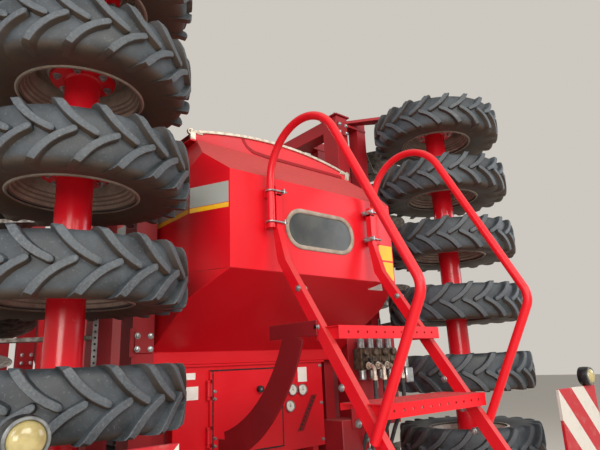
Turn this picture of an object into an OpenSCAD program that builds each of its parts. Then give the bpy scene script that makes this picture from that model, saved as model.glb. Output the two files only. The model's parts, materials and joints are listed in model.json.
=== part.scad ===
// Trailed seed drill with folding wings, parked folded on its wheels and its jack.
// Forward is -Y, up is +Z, millimetres. Inside the modules Y is measured from the front roller's axis.

/* [Rollers and wheels] */
// Outside diameter of every tyre, to the tips of its lugs
tyre_d = 780; // [700:2:800]
// Width of a tyre
tyre_w = 200; // [160:2:220]
// Height of a lug
lug_h = 22; // [14:1:30]
// Lugs on each side of a tyre
lugs = 15; // [12:1:20]
// Distance between two tyres of a roller
tyre_pitch = 375; // [360:1:400]
// Tyres on the middle roller
centre_tyres = 4; // [2:2:4]
// Tyres on each wing roller
wing_tyres = 6; // [4:1:6]
// Height of the raised rollers above the ground
lift = 100; // [60:5:140]
// Diameter of the roller tube
axle_d = 121; // [100:1:130]
// Diameter of the rim's seat
rim_d = 412; // [390:2:430]
// Distance of the road wheels behind the front roller
wheel_y = 1850; // [1800:10:1900]
// Running gap between a turning piece and what carries it
run_gap = 0.5; // [0.3:0.1:1]

/* [Frame] */
// Distance of the wing hinges from the middle
hinge_x = 705; // [695:1:730]
// Height of the wing hinges above the tyres
hinge_clear = 15; // [15:1:20]
// Depth of the frame beams
beam_h = 100; // [80:2:104]
// Width of the beams that carry the hinges
beam_w = 130; // [100:2:150]
// Wall of the beams at their open ends
beam_wall = 8; // [5:1:12]
// Distance of the front beam behind the roller axis
beam_y = 222; // [215:1:260]
// Distance of the wings' front beam behind the roller axis
wing_beam_y = 470; // [460:2:500]
// Distance of the rear beam behind the roller axis
rear_beam_y = 2480; // [2440:10:2520]
// Distance of the middle rails from the middle
rail_x = 520; // [500:5:540]
// Width of the middle rails
rail_w = 110; // [80:2:120]
// Thickness of the hinge plates
lug_t = 20; // [12:1:25]
// Diameter of the hinge pins
pin_d = 50; // [40:1:60]
// Y of the middle of the whole machine
y_mid = 500; // [500:1:500]

/* [Drawbar] */
// Distance of the hitch shaft ahead of the front roller
hitch_y = 2860; // [2800:10:2920]
// Height of the hitch shaft
hitch_z = 600; // [560:10:650]
// Distance of the hitch pivot behind the hitch shaft
pivot_back = 250; // [230:5:300]
// Width of the drawbar
bar_w = 180; // [140:5:200]
// Depth of the drawbar
bar_h = 150; // [120:5:170]
// Diameter of the lower link pins
link_pin_d = 36.6; // [28.4:0.1:50.8]
// Width between the shoulders of the lower link pins
link_span = 965; // [825:1:1100]
// Length of each lower link pin
link_pin_l = 60; // [50:1:80]
// Diameter of the jack's foot
foot_d = 190; // [150:5:220]
// Distance of the jack ahead of the front roller
jack_y = 1950; // [1900:10:2000]
// Distance of the jack from the middle
jack_x = 152; // [150:1:170]

/* [Hopper] */
// Half width of the hopper
hop_x = 600; // [590:1:604]
// Y of the hopper's front face
hop_y = -53; // [-60:1:-40]
// Length of the hopper
hop_len = 3006; // [2950:2:3040]
// Half width of the front face between its corner cuts
face_x = 510; // [480:5:540]
// Length of a corner cut along the side
cut_y = 186; // [150:2:220]
// Half width of the top opening
rim_x = 502; // [480:2:520]
// Distance of the top opening behind the front face
rim_y = 303; // [280:1:330]
// Height of the top opening
rim_z = 2640; // [2600:5:2700]
// Height of the side walls
side_z = 2434; // [2400:2:2460]
// Height of the front face's top edge
face_top = 2396; // [2360:2:2420]
// Height of the front face's lower edge
face_low = 1970; // [1940:2:2000]
// Height of the edge below the lower slope
lip_z = 1660; // [1640:2:1690]
// Height of the hopper's bottom
floor_z = 1600; // [1590:1:1610]
// Distance of the lower edge behind the front face
lip_y = 522; // [500:2:540]
// Thickness of the hopper's walls
wall = 8; // [5:1:10]
// Rise of the cover's bows
bow_rise = 65; // [50:1:80]

/* [Tools] */
// Diameter of the cultivator discs
disc_d = 460; // [400:5:480]
// Distance between two discs of a row
disc_pitch = 250; // [240:2:260]
// Distance between two seed rows
row_pitch = 150; // [140:1:160]
// Diameter of the coulter discs
coulter_d = 340; // [300:5:360]
// Diameter of the press wheels
press_d = 320; // [280:5:340]
// Height of the lifted tools above the ground
tool_lift = 106; // [104:1:120]

/* [Ladder] */
// Distance of the ladder's sides from the middle
ladder_x = 300; // [280:2:320]
// Diameter of the handrails
rail_d = 34; // [28:1:40]
// Distance between two steps
step_rise = 267; // [250:1:280]
// Height of the top step
step_top = 1712; // [1700:1:1720]
// Diameter of the holes in the steps' lips
lip_hole_d = 10; // [8:1:14]

/* [Hidden] */

red = "#d7202e";
dark_red = "#a51620";
grey = "#8f9494";
black = "#222426";
rubber = "#4a4d4c";
silver = "#a9b5b8";

roll_z = lift + tyre_d / 2;
road_z = tyre_d / 2;
hinge_z = lift + tyre_d + hinge_clear;
roll_h = roll_z - hinge_z;
beam_z = hinge_z + 40;
frame_top = beam_z + beam_h / 2;
frame_low = frame_top - beam_h;
tool_bar_z = frame_low - 130;
half_centre = centre_tyres * tyre_pitch / 2;
wing_in = half_centre - hinge_x;
wing_out = wing_in + wing_tyres * tyre_pitch;
first_tyre = wing_in + tyre_pitch / 2;
beam_in = 120;
fit = 0.3;

// Profile drawn as [Y, Z], centred on X
module along_x(w) {
    rotate([90, 0, 90]) translate([0, 0, -w / 2]) linear_extrude(w) children();
}

// Profile drawn as [X, Z], from y0 back to y1
module along_y(y0, y1) {
    translate([0, y1, 0]) rotate([90, 0, 0]) linear_extrude(y1 - y0) children();
}

// Box given by its corners
module block(a, b) {
    translate(a) cube([b[0] - a[0], b[1] - a[1], b[2] - a[2]]);
}

// Round bar between two points
module rod(a, b, d) {
    v = b - a;
    len = norm(v);
    translate(a) rotate([0, acos(v[2] / len), atan2(v[1], v[0])]) cylinder(h = len, d = d, $fn = 48);
}

function unit(v) = v / norm(v);
function away(c, r, p, side) = c + r * [cos(atan2(p[1] - c[1], p[0] - c[0]) + side * acos(r / norm(p - c))),
    sin(atan2(p[1] - c[1], p[0] - c[0]) + side * acos(r / norm(p - c)))];

// Flat tab: a round end of radius r at c, drawn out to the base from p1 to p2
module tab(c, r, p1, p2) {
    q = p1 - c;
    w = p2 - c;
    side = q[0] * w[1] - q[1] * w[0] > 0 ? 1 : -1;
    translate(c) circle(r = r, $fn = 48);
    polygon([p1, away(c, r * 0.98, p1, -side), away(c, r * 0.98, p2, side), p2]);
}

function turn(p, i) = acos(unit(p[i] - p[i - 1]) * unit(p[i + 1] - p[i]));
function set_back(p, bends, i) = i == 0 || i == len(p) - 1 ? 0 : bends[i] * tan(turn(p, i) / 2);

// Pipe bent in one plane, through corners p, each rounded by its own bend; drawn in the plane [Y, Z].
// Each elbow is a hair thicker than the pipe that enters it.
module pipe(p, bends, d) {
    enter = d / 12;
    rotate([90, 0, 90]) {
        for (i = [0 : len(p) - 2]) {
            dir = unit(p[i + 1] - p[i]);
            a = p[i] + dir * max(set_back(p, bends, i) - enter, 0);
            b = p[i + 1] - dir * max(set_back(p, bends, i + 1) - enter, 0);
            rod([a[0], a[1], 0], [b[0], b[1], 0], d);
        }
        for (i = [1 : len(p) - 2]) {
            d1 = unit(p[i] - p[i - 1]);
            d2 = unit(p[i + 1] - p[i]);
            side = d1[0] * d2[1] - d1[1] * d2[0] > 0 ? 1 : -1;
            n = side * [-d1[1], d1[0]];
            c = p[i] - d1 * set_back(p, bends, i) + n * bends[i];
            a0 = atan2(-n[1], -n[0]);
            translate([c[0], c[1], 0]) rotate([0, 0, side > 0 ? a0 : a0 - turn(p, i)])
                rotate_extrude(angle = turn(p, i), $fn = 96)
                    translate([bends[i], 0]) circle(d = d * 1.04, $fn = 48);
        }
    }
}

module both() {
    children();
    mirror([1, 0, 0]) children();
}

// Wing pieces are drawn as [outward from the hinge, Y, above the hinge] and stood up for the road
module on_wing() {
    translate([hinge_x, 0, hinge_z]) rotate([0, -90, 0]) children();
}

// Rectangular tube along X, open at both ends
module cross_tube(x0, x1, y, z, w, h) {
    difference() {
        block([x0, y - w / 2, z - h / 2], [x1, y + w / 2, z + h / 2]);
        block([x0 - 1, y - w / 2 + beam_wall, z - h / 2 + beam_wall],
            [x1 + 1, y + w / 2 - beam_wall, z + h / 2 - beam_wall]);
    }
}

// Rollers and wheels

// Ring round X from its half section, drawn as [radius, distance from the middle] from bead to tread
module ring(half) {
    n = len(half);
    rotate([0, 90, 0]) rotate_extrude($fn = 96)
        polygon(concat([for (p = half) p], [for (i = [n - 1 : -1 : 0]) [half[i][0], -half[i][1]]]));
}

// Hollow tyre, open to its rim, with slanting lugs that alternate from side to side
module tyre() {
    r = tyre_d / 2;
    c = r - lug_h;
    s = rim_d / 2;
    h = tyre_w / 2;
    difference() {
        ring([[s, 0.78 * h], [s + 30, 0.9 * h], [s + 90, 0.96 * h], [c - 38, 0.94 * h],
            [c - 8, 0.8 * h], [c, 0.45 * h]]);
        ring([[s - 1, 0.6 * h], [s + 26, 0.76 * h], [s + 80, 0.84 * h], [c - 70, 0.8 * h], [c - 40, 0.55 * h]]);
    }
    intersection() {
        for (i = [0 : lugs - 1]) {
            rotate([i * 360 / lugs, 0, 0]) lug(r, c, h);
            rotate([(i + 0.5) * 360 / lugs, 0, 0]) mirror([1, 0, 0]) lug(r, c, h);
        }
        ring([[c - 60, h], [r - 12, h], [r, 0.9 * h]]);
    }
}

// Bar of the tread, from just past the middle out over the shoulder
module lug(r, c, h) {
    half = 13;
    translate([0, 0, c - 36]) linear_extrude(r - c + 60)
        polygon([[-0.12 * h + half, 0.08 * h + half], [-0.12 * h - half / 2, 0.08 * h - half / 2],
            [h + 1, -0.98 * h - half], [h + 1, -0.98 * h + 1.4 * half]]);
}

// Rim with its stepped dish, open to the tube that it sits on
module rim(inner_d) {
    s = rim_d / 2 - fit;
    h = 0.78 * tyre_w / 2;
    rotate([0, 90, 0]) rotate_extrude($fn = 96)
        polygon([[inner_d / 2, 0], [113, 0], [128, 20], [170, 20], [180, 6], [s - 12, 6], [s - 12, -h],
            [s, -h], [s, h], [s - 12, h], [s - 12, 20], [175, 20], [165, 34], [125, 34], [110, 12],
            [inner_d / 2, 12]]);
}

flange_d = 224;
flange_t = 12;
stud_r = 90;

// Flange behind a rim's dish, with its stud holes
module hub_flange() {
    difference() {
        translate([-flange_t, 0, 0]) rotate([0, 90, 0]) cylinder(h = flange_t, d = flange_d, $fn = 64);
        for (a = [0 : 60 : 300]) rotate([a, 0, 0]) translate([-flange_t - 1, 0, stud_r]) rotate([0, 90, 0])
            cylinder(h = flange_t, d = 14, $fn = 24);
    }
}

// Tube with rims for n tyres, from the first tyre outward
module roller_axle(n, first, bearing) {
    last = first + (n - 1) * tyre_pitch;
    translate([first - bearing, 0, 0]) rotate([0, 90, 0])
        cylinder(h = last - first + 2 * bearing, d = axle_d, $fn = 64);
    for (i = [0 : n - 1]) translate([first + i * tyre_pitch, 0, 0]) {
        rim(axle_d - 2);
        hub_flange();
    }
    for (x = [first - bearing - stub_l, last + bearing])
        translate([x, 0, 0]) rotate([0, 90, 0]) cylinder(h = stub_l, d = stub_d, $fn = 48);
}

module row_of_tyres(n, first) {
    for (i = [0 : n - 1]) translate([first + i * tyre_pitch, 0, 0]) tyre();
}

tube_end = tyre_w / 2 + 12;

module tyres_center() {
    color(rubber) translate([0, 0, roll_z]) row_of_tyres(centre_tyres, tyre_pitch / 2 - half_centre);
}

module axle_center() {
    color(red) translate([0, 0, roll_z]) roller_axle(centre_tyres, tyre_pitch / 2 - half_centre, tube_end);
}

module wing_tyres_row() {
    color(rubber) on_wing() translate([0, 0, roll_h]) row_of_tyres(wing_tyres, first_tyre);
}

module wing_axle() {
    color(red) on_wing() translate([0, 0, roll_h]) roller_axle(wing_tyres, first_tyre, tube_end);
}

module rear_tyres() {
    color(rubber) translate([0, wheel_y, road_z]) row_of_tyres(2, tyre_pitch / 2);
}

// Two road wheels on one hub shaft, outboard of the frame leg between them and the middle
module rear_rims() {
    color(grey) translate([0, wheel_y, road_z]) {
        for (i = [0, 1]) translate([tyre_pitch * (i + 0.5), 0, 0]) {
            rim(hub_d - 2);
            hub_flange();
        }
        translate([hub_in, 0, 0]) rotate([0, 90, 0])
            cylinder(h = tyre_pitch * 1.5 + 40 - hub_in, d = hub_d, $fn = 48);
    }
}

stub_d = 50;
stub_l = 60;
hub_d = 60;
hub_in = 60;

// Bearing plate down to a roller from a beam between y0 and y1, around a journal; centred on x
module bearing_arm(x, z, y0, y1, beam_low, journal) {
    difference() {
        translate([x, 0, 0]) along_x(lug_t) tab([0, z], journal / 2 + 35, [y0, beam_low], [y1, beam_low]);
        translate([x - lug_t, 0, z]) rotate([0, 90, 0])
            cylinder(h = 2 * lug_t, d = journal + 2 * run_gap, $fn = 48);
    }
}

// Frame

rail_front = 60;
tower_y = hop_y + hop_len + 247;
rail_back = tower_y + 50;
leg_base = 220;

module hinge_fork(y) {
    for (s = [-1, 1]) translate([0, y + s * (beam_w / 2 - lug_t / 2), 0])
        along_y(-lug_t / 2, lug_t / 2) tab([hinge_x, hinge_z], pin_d / 2 + 25,
            [rail_x + rail_w / 2, frame_low + 4], [rail_x + rail_w / 2, frame_top - 4]);
    translate([hinge_x, y - beam_w / 2 - 12, hinge_z]) rotate([-90, 0, 0])
        cylinder(h = beam_w + 24, d = pin_d, $fn = 48);
    for (end = [y - beam_w / 2 - 20, y + beam_w / 2 + 12]) translate([hinge_x, end, hinge_z]) rotate([-90, 0, 0])
        cylinder(h = 8, d = pin_d + 16, $fn = 48);
}

// Triangular gusset between a post and the rail under it, on the given side of the post
module gusset(y, side) {
    along_x(gusset_t) polygon([[y + side * post_w / 2, frame_top], [y + side * (post_w / 2 + 110), frame_top],
        [y + side * post_w / 2, frame_top + 170]]);
}

fold_y = 970;
fold_off = 48;
post_y = [560, 2330];
post_w = 80;
gusset_t = 12;

module cross_beam(y, w) {
    block([-rail_x, y - w / 2, frame_low], [rail_x, y + w / 2, frame_top]);
}

module wing_pivots() {
    color(red) both() for (y = [wing_beam_y, rear_beam_y]) hinge_fork(y);
}

module hopper_posts() {
    color(red) both() for (y = post_y) {
        block([rail_x - 20, y - post_w / 2, frame_top], [rail_x + 50, y + post_w / 2, floor_z - fit]);
        translate([rail_x + 15, 0, 0]) for (side = [-1, 1]) gusset(y, side);
    }
}

module main_frame() {
    color(red) {
        both() block([rail_x - rail_w / 2, rail_front, frame_low], [rail_x + rail_w / 2, rail_back, frame_top]);
        for (y = [beam_y, wing_beam_y, rear_beam_y]) cross_beam(y, beam_w);
        for (y = [post_y[0], tower_y]) cross_beam(y, 90);
        cross_beam(fold_y, 180);
        cross_beam(wheel_y, leg_base);
    }
}

// Leg that carries a pair of road wheels, between the tyres
module wheel_leg() {
    leg_w = 60;
    difference() {
        translate([tyre_pitch, 0, 0]) along_x(leg_w) tab([wheel_y, road_z], 65,
            [wheel_y - leg_base / 2, frame_low], [wheel_y + leg_base / 2, frame_low]);
        translate([tyre_pitch - leg_w, wheel_y, road_z]) rotate([0, 90, 0])
            cylinder(h = 2 * leg_w, d = hub_d + 2 * run_gap, $fn = 48);
    }
}

module axle_supports() {
    color(red) both() {
        bearing_arm(tyre_pitch, roll_z, beam_y - beam_w / 2, beam_y + beam_w / 2, frame_low, axle_d);
        wheel_leg();
    }
}

// Fold cylinders: pivots as [distance from the middle, height]
cyl_base = [-100, frame_top + 95];
eye_w = 180;
eye_h = 200;
eye_in = [hinge_x - eye_h, hinge_z + eye_w];
cyl_d = 78;
cyl_pin = 36;
cyl_len = 430;
rod_d = 45;

module cylinder_brackets() {
    color(red) for (s = [-1, 1]) for (t = [-1, 1])
        translate([0, fold_y + s * fold_off + t * 27, 0]) along_y(-6, 6)
            tab([-s * cyl_base[0], cyl_base[1]], 38,
                [-s * cyl_base[0] - 60, frame_top], [-s * cyl_base[0] + 60, frame_top]);
    color(silver) for (s = [-1, 1])
        translate([-s * cyl_base[0], fold_y + s * fold_off - 36, cyl_base[1]]) rotate([-90, 0, 0])
            cylinder(h = 72, d = cyl_pin, $fn = 32);
}

// Cylinder drawn along +X from its base eye, then laid to its pin on the wing
module lay_cylinder(side) {
    v = eye_in - cyl_base;
    mirror([side < 0 ? 1 : 0, 0, 0])
        translate([cyl_base[0], fold_y - side * fold_off, cyl_base[1]])
            rotate([0, -atan2(v[1], v[0]), 0]) children();
}

module fold_cylinder(side) {
    color(black) lay_cylinder(side) difference() {
        union() {
            rotate([90, 0, 0]) cylinder(h = 40, d = cyl_d - 2, center = true, $fn = 48);
            block([20, -18, -26], [80, 18, 26]);
            translate([70, 0, 0]) rotate([0, 90, 0]) cylinder(h = cyl_len, d = cyl_d, $fn = 64);
            translate([70 + cyl_len - 30, 0, 0]) rotate([0, 90, 0]) cylinder(h = 30, d = cyl_d + 6, $fn = 64);
            for (x = [105, cyl_len + 20]) translate([x, 0, cyl_d / 2 - 5]) cylinder(h = 20, d = 26, $fn = 32);
        }
        rotate([90, 0, 0]) cylinder(h = 60, d = cyl_pin + 2 * run_gap, center = true, $fn = 48);
        translate([90, 0, 0]) rotate([0, 90, 0]) cylinder(h = cyl_len, d = rod_d + 2 * run_gap, $fn = 48);
    }
}

module fold_rod(side) {
    reach = norm(eye_in - cyl_base);
    color(silver) lay_cylinder(side) {
        translate([95, 0, 0]) rotate([0, 90, 0]) cylinder(h = reach - 95 - 20, d = rod_d, $fn = 48);
        translate([reach, 0, 0]) rotate([90, 0, 0]) cylinder(h = 44, d = 70, center = true, $fn = 48);
    }
}

// Wing

module wing_eye(y) {
    gap = beam_w / 2 - lug_t - 5;
    translate([0, y, 0]) along_y(-gap, gap) difference() {
        tab([0, 0], pin_d / 2 + 22, [beam_in, beam_z - hinge_z - beam_h / 2],
            [beam_in, beam_z - hinge_z + beam_h / 2]);
        circle(d = pin_d + 2 * run_gap, $fn = 48);
    }
}

module wing_frame() {
    low = beam_z - hinge_z - beam_h / 2;
    high = beam_z - hinge_z + beam_h / 2;
    color(red) on_wing() {
        for (y = [wing_beam_y, rear_beam_y])
            cross_tube(beam_in, wing_out - 20, y, beam_z - hinge_z, beam_w, beam_h);
        for (x = [beam_in + 45, wing_out - 65])
            difference() {
                block([x - 45, wing_beam_y + beam_w / 2, low], [x + 45, rear_beam_y - beam_w / 2, high]);
                block([x - 45 + beam_wall, wing_beam_y, low + beam_wall],
                    [x + 45 - beam_wall, rear_beam_y, high - beam_wall]);
            }
        wing_eye(wing_beam_y);
        wing_eye(rear_beam_y);
        for (x = [first_tyre - tube_end - stub_l / 2,
                first_tyre + (wing_tyres - 1) * tyre_pitch + tube_end + stub_l / 2])
            bearing_arm(x, roll_h, wing_beam_y - beam_w / 2, wing_beam_y, low, stub_d);
    }
}

module wing_lugs(side) {
    high = beam_z + beam_h / 2 - hinge_z;
    color(red) on_wing() for (t = [-1, 1])
        translate([0, fold_y - side * fold_off + t * 33, 0]) along_y(-6, 6)
            tab([eye_w, eye_h], 40, [beam_in, high], [beam_in + 90, high]);
}

// Tools

disc_rows = [700, 1100];
arm_back = 260;

// Dished disc round X, hollow towards +X
module dished_disc(d, t) {
    deep = 0.07 * d;
    rotate([0, 90, 0]) rotate_extrude($fn = 64)
        polygon([[0, 0], [0.2 * d, 0], [0.37 * d, 0.4 * deep], [0.5 * d, deep], [0.5 * d, deep + 1.5],
            [0.37 * d, 0.4 * deep + t], [0.2 * d, t], [0, t]]);
}

// One row of cultivator discs under a square bar; x0 to x1 is the bar, z is relative to the ground
module disc_row(y, x0, x1, first, n, lean) {
    bar_y = y - arm_back;
    bar_z = tool_bar_z;
    axis_z = tool_lift + disc_d / 2 + 4;
    block([x0, bar_y - 40, bar_z - 40], [x1, bar_y + 40, bar_z + 40]);
    for (i = [0 : n - 1]) translate([first + i * disc_pitch, 0, 0]) {
        translate([0, y, axis_z]) rotate([0, 0, lean * 14]) {
            dished_disc(disc_d, 5);
            rotate([0, -90, 0]) cylinder(h = 50, d = 90, $fn = 48);
        }
        translate([-30, 0, 0]) along_x(16) polygon([[bar_y - 40, bar_z - 30], [bar_y + 40, bar_z - 30],
            [y + 30, axis_z + 30], [y + 30, axis_z - 30], [y - 20, axis_z - 30]]);
    }
}

module disc_gang(x0, x1, first, n) {
    color(dark_red) {
        disc_row(disc_rows[0], x0, x1, first, n, 1);
        disc_row(disc_rows[1], x0, x1, first + disc_pitch / 2, n, -1);
    }
}

coulter_rows = [2700, 2980];
coulter_toe = 4;

// Press wheel: a rubber tyre with a raised middle on a thin dished wheel
module press_wheel(r) {
    ring([[0, 25], [30, 25], [36, 8], [r - 46, 8], [r - 42, 24], [r - 12, 24], [r, 8]]);
}

// Double disc coulter with its press wheel on one arm
module coulter(y) {
    axis_z = tool_lift + coulter_d / 2;
    press_z = tool_lift + press_d / 2;
    for (s = [-1, 1]) translate([s * (coulter_d / 2 * sin(coulter_toe) + 3), y, axis_z])
        rotate([0, 0, s * coulter_toe]) rotate([0, 90, 0])
            cylinder(h = 4, d = coulter_d, center = true, $fn = 48);
    translate([0, y, axis_z]) rotate([0, 90, 0]) cylinder(h = 50, d = 50, center = true, $fn = 32);
    translate([0, y + 330, press_z]) press_wheel(press_d / 2);
    along_x(12) polygon([[y - 190, tool_bar_z + 20], [y - 130, tool_bar_z + 20],
        [y + 20, axis_z + 40], [y + 340, press_z + 20], [y + 340, press_z - 20], [y - 20, axis_z - 20],
        [y - 40, axis_z]]);
}

module coulter_gang(x0, x1, first, n) {
    bar_z = tool_bar_z;
    for (k = [0, 1]) {
        y = coulter_rows[k];
        color(dark_red) block([x0, y - 200, bar_z], [x1, y - 120, bar_z + 80]);
        color(grey) for (i = [k : 2 : n - 1]) translate([first + i * row_pitch, 0, 0]) coulter(y);
    }
    color(dark_red) block([x0, 3380, bar_z + 40], [x1, 3440, bar_z + 100]);
    color(black) for (i = [0 : n - 1]) translate([first + (i + 0.5 - (i == n - 1 ? 0.5 : 0)) * row_pitch, 0, 0])
        pipe([[3410, bar_z + 50], [3450, bar_z - 230], [3640, tool_lift + 8]], [0, 40, 0], 12);
}

// Hangers from the frame down to the tool bars; x is the plate's middle
module hangers(x) {
    for (y = disc_rows)
        block([x - 18, y - arm_back - 45, tool_bar_z - 40], [x - 2, y - arm_back + 45, frame_low]);
}

disc_n = round(centre_tyres * tyre_pitch / disc_pitch);
wing_disc_n = round(wing_tyres * tyre_pitch / disc_pitch);
row_n = round(centre_tyres * tyre_pitch / row_pitch);
wing_row_n = round(wing_tyres * tyre_pitch / row_pitch);

module disc_gang_center() {
    disc_gang(-half_centre + 20, half_centre - 20, disc_pitch / 4 - disc_n * disc_pitch / 2, disc_n);
    color(dark_red) both() hangers(rail_x);
}

module coulters_center() {
    coulter_gang(-half_centre + 20, half_centre - 20, row_pitch / 2 - row_n * row_pitch / 2, row_n);
    color(dark_red) both() {
        for (y = coulter_rows) block([rail_x - 18, y - 205, tool_bar_z - 1], [rail_x - 2, y - 115, frame_low]);
        block([rail_x - 8, 3100, frame_low - 60], [rail_x + 8, 3400, frame_low - 20]);
        block([rail_x - 8, 3100, frame_low - 60], [rail_x + 8, 3180, frame_low]);
    }
}

module wing_disc_gang() {
    on_wing() translate([0, 0, -hinge_z]) {
        disc_gang(wing_in + 20, wing_out - 20, wing_in + disc_pitch / 4, wing_disc_n);
        color(dark_red) for (x = [beam_in + 45, wing_out - 65]) hangers(x);
    }
}

module wing_coulters() {
    on_wing() translate([0, 0, -hinge_z]) {
        coulter_gang(wing_in + 20, wing_out - 20, wing_in + row_pitch / 2, wing_row_n);
        color(dark_red) for (x = [beam_in + 45, wing_out - 65]) {
            block([x - 8, rear_beam_y - 40, tool_bar_z - 1], [x + 8, rear_beam_y + 100, frame_low]);
            block([x - 8, rear_beam_y, frame_low - 80], [x + 8, 3400, frame_low - 20]);
        }
    }
}

// Drawbar and hitch

pivot_y = -hitch_y + pivot_back;
link_hub_d = 76;
neck_y = -480;
neck_z = frame_low + bar_h / 2 + 5;
tip_y = pivot_y + 130;

// Height of the drawbar's sloping top at y
function bar_top(y) = neck_z + bar_h / 2 - (neck_y - y) * (neck_z - hitch_z) / (neck_y - tip_y);

// Foot of the given length on the drawbar's sloping top
module saddle(y, len, top) {
    along_x(bar_w * 2 / 3) polygon([[y - len / 2, bar_top(y - len / 2) + fit],
        [y + len / 2, bar_top(y + len / 2) + fit], [y + len / 2, top], [y - len / 2, top]]);
}

module drawbar() {
    h = bar_h / 2;
    color(red) difference() {
        union() {
            along_x(bar_w) polygon([[beam_y - beam_w / 2, neck_z - h], [beam_y - beam_w / 2, neck_z + h],
                [neck_y, neck_z + h], [tip_y, hitch_z + h], [pivot_y + 60, hitch_z + h],
                [pivot_y + 60, hitch_z - h], [pivot_y + 150, hitch_z - h], [neck_y, neck_z - h]]);
            for (s = [-1, 1]) translate([0, 0, hitch_z + s * (h - 15) - 15]) linear_extrude(30)
                tab([0, pivot_y], 75, [-bar_w / 2, pivot_y + 80], [bar_w / 2, pivot_y + 80]);
        }
        translate([0, pivot_y, hitch_z - bar_h]) cylinder(h = 2 * bar_h, d = pin_d - 1, $fn = 48);
    }
    color(grey) translate([0, pivot_y, hitch_z - h - 15]) cylinder(h = bar_h + 30, d = pin_d, $fn = 48);
}

module hitch_head() {
    color(red) translate([0, pivot_y, hitch_z]) difference() {
        union() {
            translate([0, 0, -(bar_h / 2 - 35)]) linear_extrude(bar_h - 70)
                tab([0, 0], 60, [-70, -pivot_back], [70, -pivot_back]);
            translate([-link_span / 2, -pivot_back, 0]) rotate([0, 90, 0])
                cylinder(h = link_span, d = link_hub_d, $fn = 64);
            for (s = [-1, 1]) translate([s * link_span / 2, -pivot_back, 0]) rotate([0, 90, 0])
                cylinder(h = 2 * link_pin_l, d = link_pin_d, center = true, $fn = 64);
        }
        cylinder(h = bar_h, d = pin_d + 2 * run_gap, center = true, $fn = 48);
    }
}

jack_top = 1050;
jack_low = 380;
jack_d = 90;

module jack_tube() {
    color(red) difference() {
        union() {
            translate([jack_x, -jack_y, jack_low]) cylinder(h = jack_top - jack_low, d = jack_d, $fn = 64);
            block([bar_w / 2, -jack_y - 60, 600], [jack_x - 20, -jack_y + 60, 740]);
        }
        translate([jack_x, -jack_y, jack_low - 1]) cylinder(h = jack_top - jack_low - 15, d = jack_d - 12, $fn = 64);
    }
    color(silver) {
        rod([jack_x, -jack_y, jack_top - 1], [jack_x, -jack_y, jack_top + 40], 24);
        rod([jack_x - 12, -jack_y, jack_top + 34], [jack_x + 150, -jack_y, jack_top + 34], 16);
        rod([jack_x + 142, -jack_y, jack_top + 30], [jack_x + 142, -jack_y, jack_top + 130], 16);
    }
}

module jack_leg() {
    color(silver) {
        translate([jack_x, -jack_y, 10]) cylinder(h = 690, d = jack_d - 12 - 2 * run_gap, $fn = 64);
        translate([jack_x, -jack_y, 0]) cylinder(h = 12, d = foot_d, $fn = 64);
    }
}

// Hopper

// Whole hopper body, inset by t on every outer face
module hopper_body(t, z0, z1) {
    y0 = hop_y + t;
    y1 = hop_y + hop_len - t;
    x1 = hop_x - t;
    k = t * 0.6;
    intersection() {
        translate([0, 0, z0]) linear_extrude(z1 - z0) polygon([[-face_x + k, y0], [face_x - k, y0],
            [x1, hop_y + cut_y + k], [x1, hop_y + hop_len - cut_y - k], [face_x - k, y1], [-face_x + k, y1],
            [-x1, hop_y + hop_len - cut_y - k], [-x1, hop_y + cut_y + k]]);
        along_x(3 * hop_x) polygon([[hop_y + lip_y + t, floor_z - 50], [hop_y + lip_y + t, lip_z + k],
            [y0, face_low + k], [y0, face_top - k], [hop_y + rim_y + t, rim_z], [hop_y + rim_y + t, rim_z + 50],
            [hop_y + hop_len - rim_y - t, rim_z + 50], [hop_y + hop_len - rim_y - t, rim_z],
            [y1, face_top - k], [y1, face_low + k], [hop_y + hop_len - lip_y - t, lip_z + k],
            [hop_y + hop_len - lip_y - t, floor_z - 50]]);
        along_y(hop_y - 100, hop_y + hop_len + 100) polygon([[-x1, floor_z - 50], [x1, floor_z - 50],
            [x1, side_z - k], [rim_x - t, rim_z], [rim_x - t, rim_z + 50], [-rim_x + t, rim_z + 50],
            [-rim_x + t, rim_z], [-x1, side_z - k]]);
    }
}

rim_flange = 34;
rim_t = 8;
window_w = 420;
window_h = 175;
window_z = 2180;

module window_shape(grow) {
    d = window_h + 2 * grow;
    for (s = [-1, 1]) translate([s * (window_w - window_h) / 2, 0]) circle(d = d, $fn = 64);
    square([window_w - window_h, d], center = true);
}

module hopper_upper() {
    color(red) difference() {
        hopper_body(0, face_low, rim_z);
        hopper_body(wall, face_low - 1, rim_z + 1);
        translate([0, hop_y + 50, window_z]) rotate([90, 0, 0]) linear_extrude(100) window_shape(0);
    }
    color(red) both() block([rim_x - wall, hop_y + rim_y, rim_z - rim_t],
        [rim_x + rim_flange, hop_y + hop_len - rim_y, rim_z]);
}

funnel_y = [820, 2080];
funnel_x = 540;
outlet_y = [1250, 1650];
outlet_x = 150;
outlet_z = 1250;

module hopper_lower() {
    color(red) difference() {
        hopper_body(0, floor_z, face_low);
        hopper_body(wall, floor_z + wall, face_low + 1);
        block([-funnel_x, funnel_y[0], floor_z - 1], [funnel_x, funnel_y[1], floor_z + wall + 1]);
    }
}

module funnel_solid(t) {
    hull() {
        block([-funnel_x + t, funnel_y[0] + t, floor_z - 2], [funnel_x - t, funnel_y[1] - t, floor_z]);
        block([-outlet_x + t, outlet_y[0] + t, outlet_z], [outlet_x - t, outlet_y[1] - t, outlet_z + 2]);
    }
}

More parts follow.
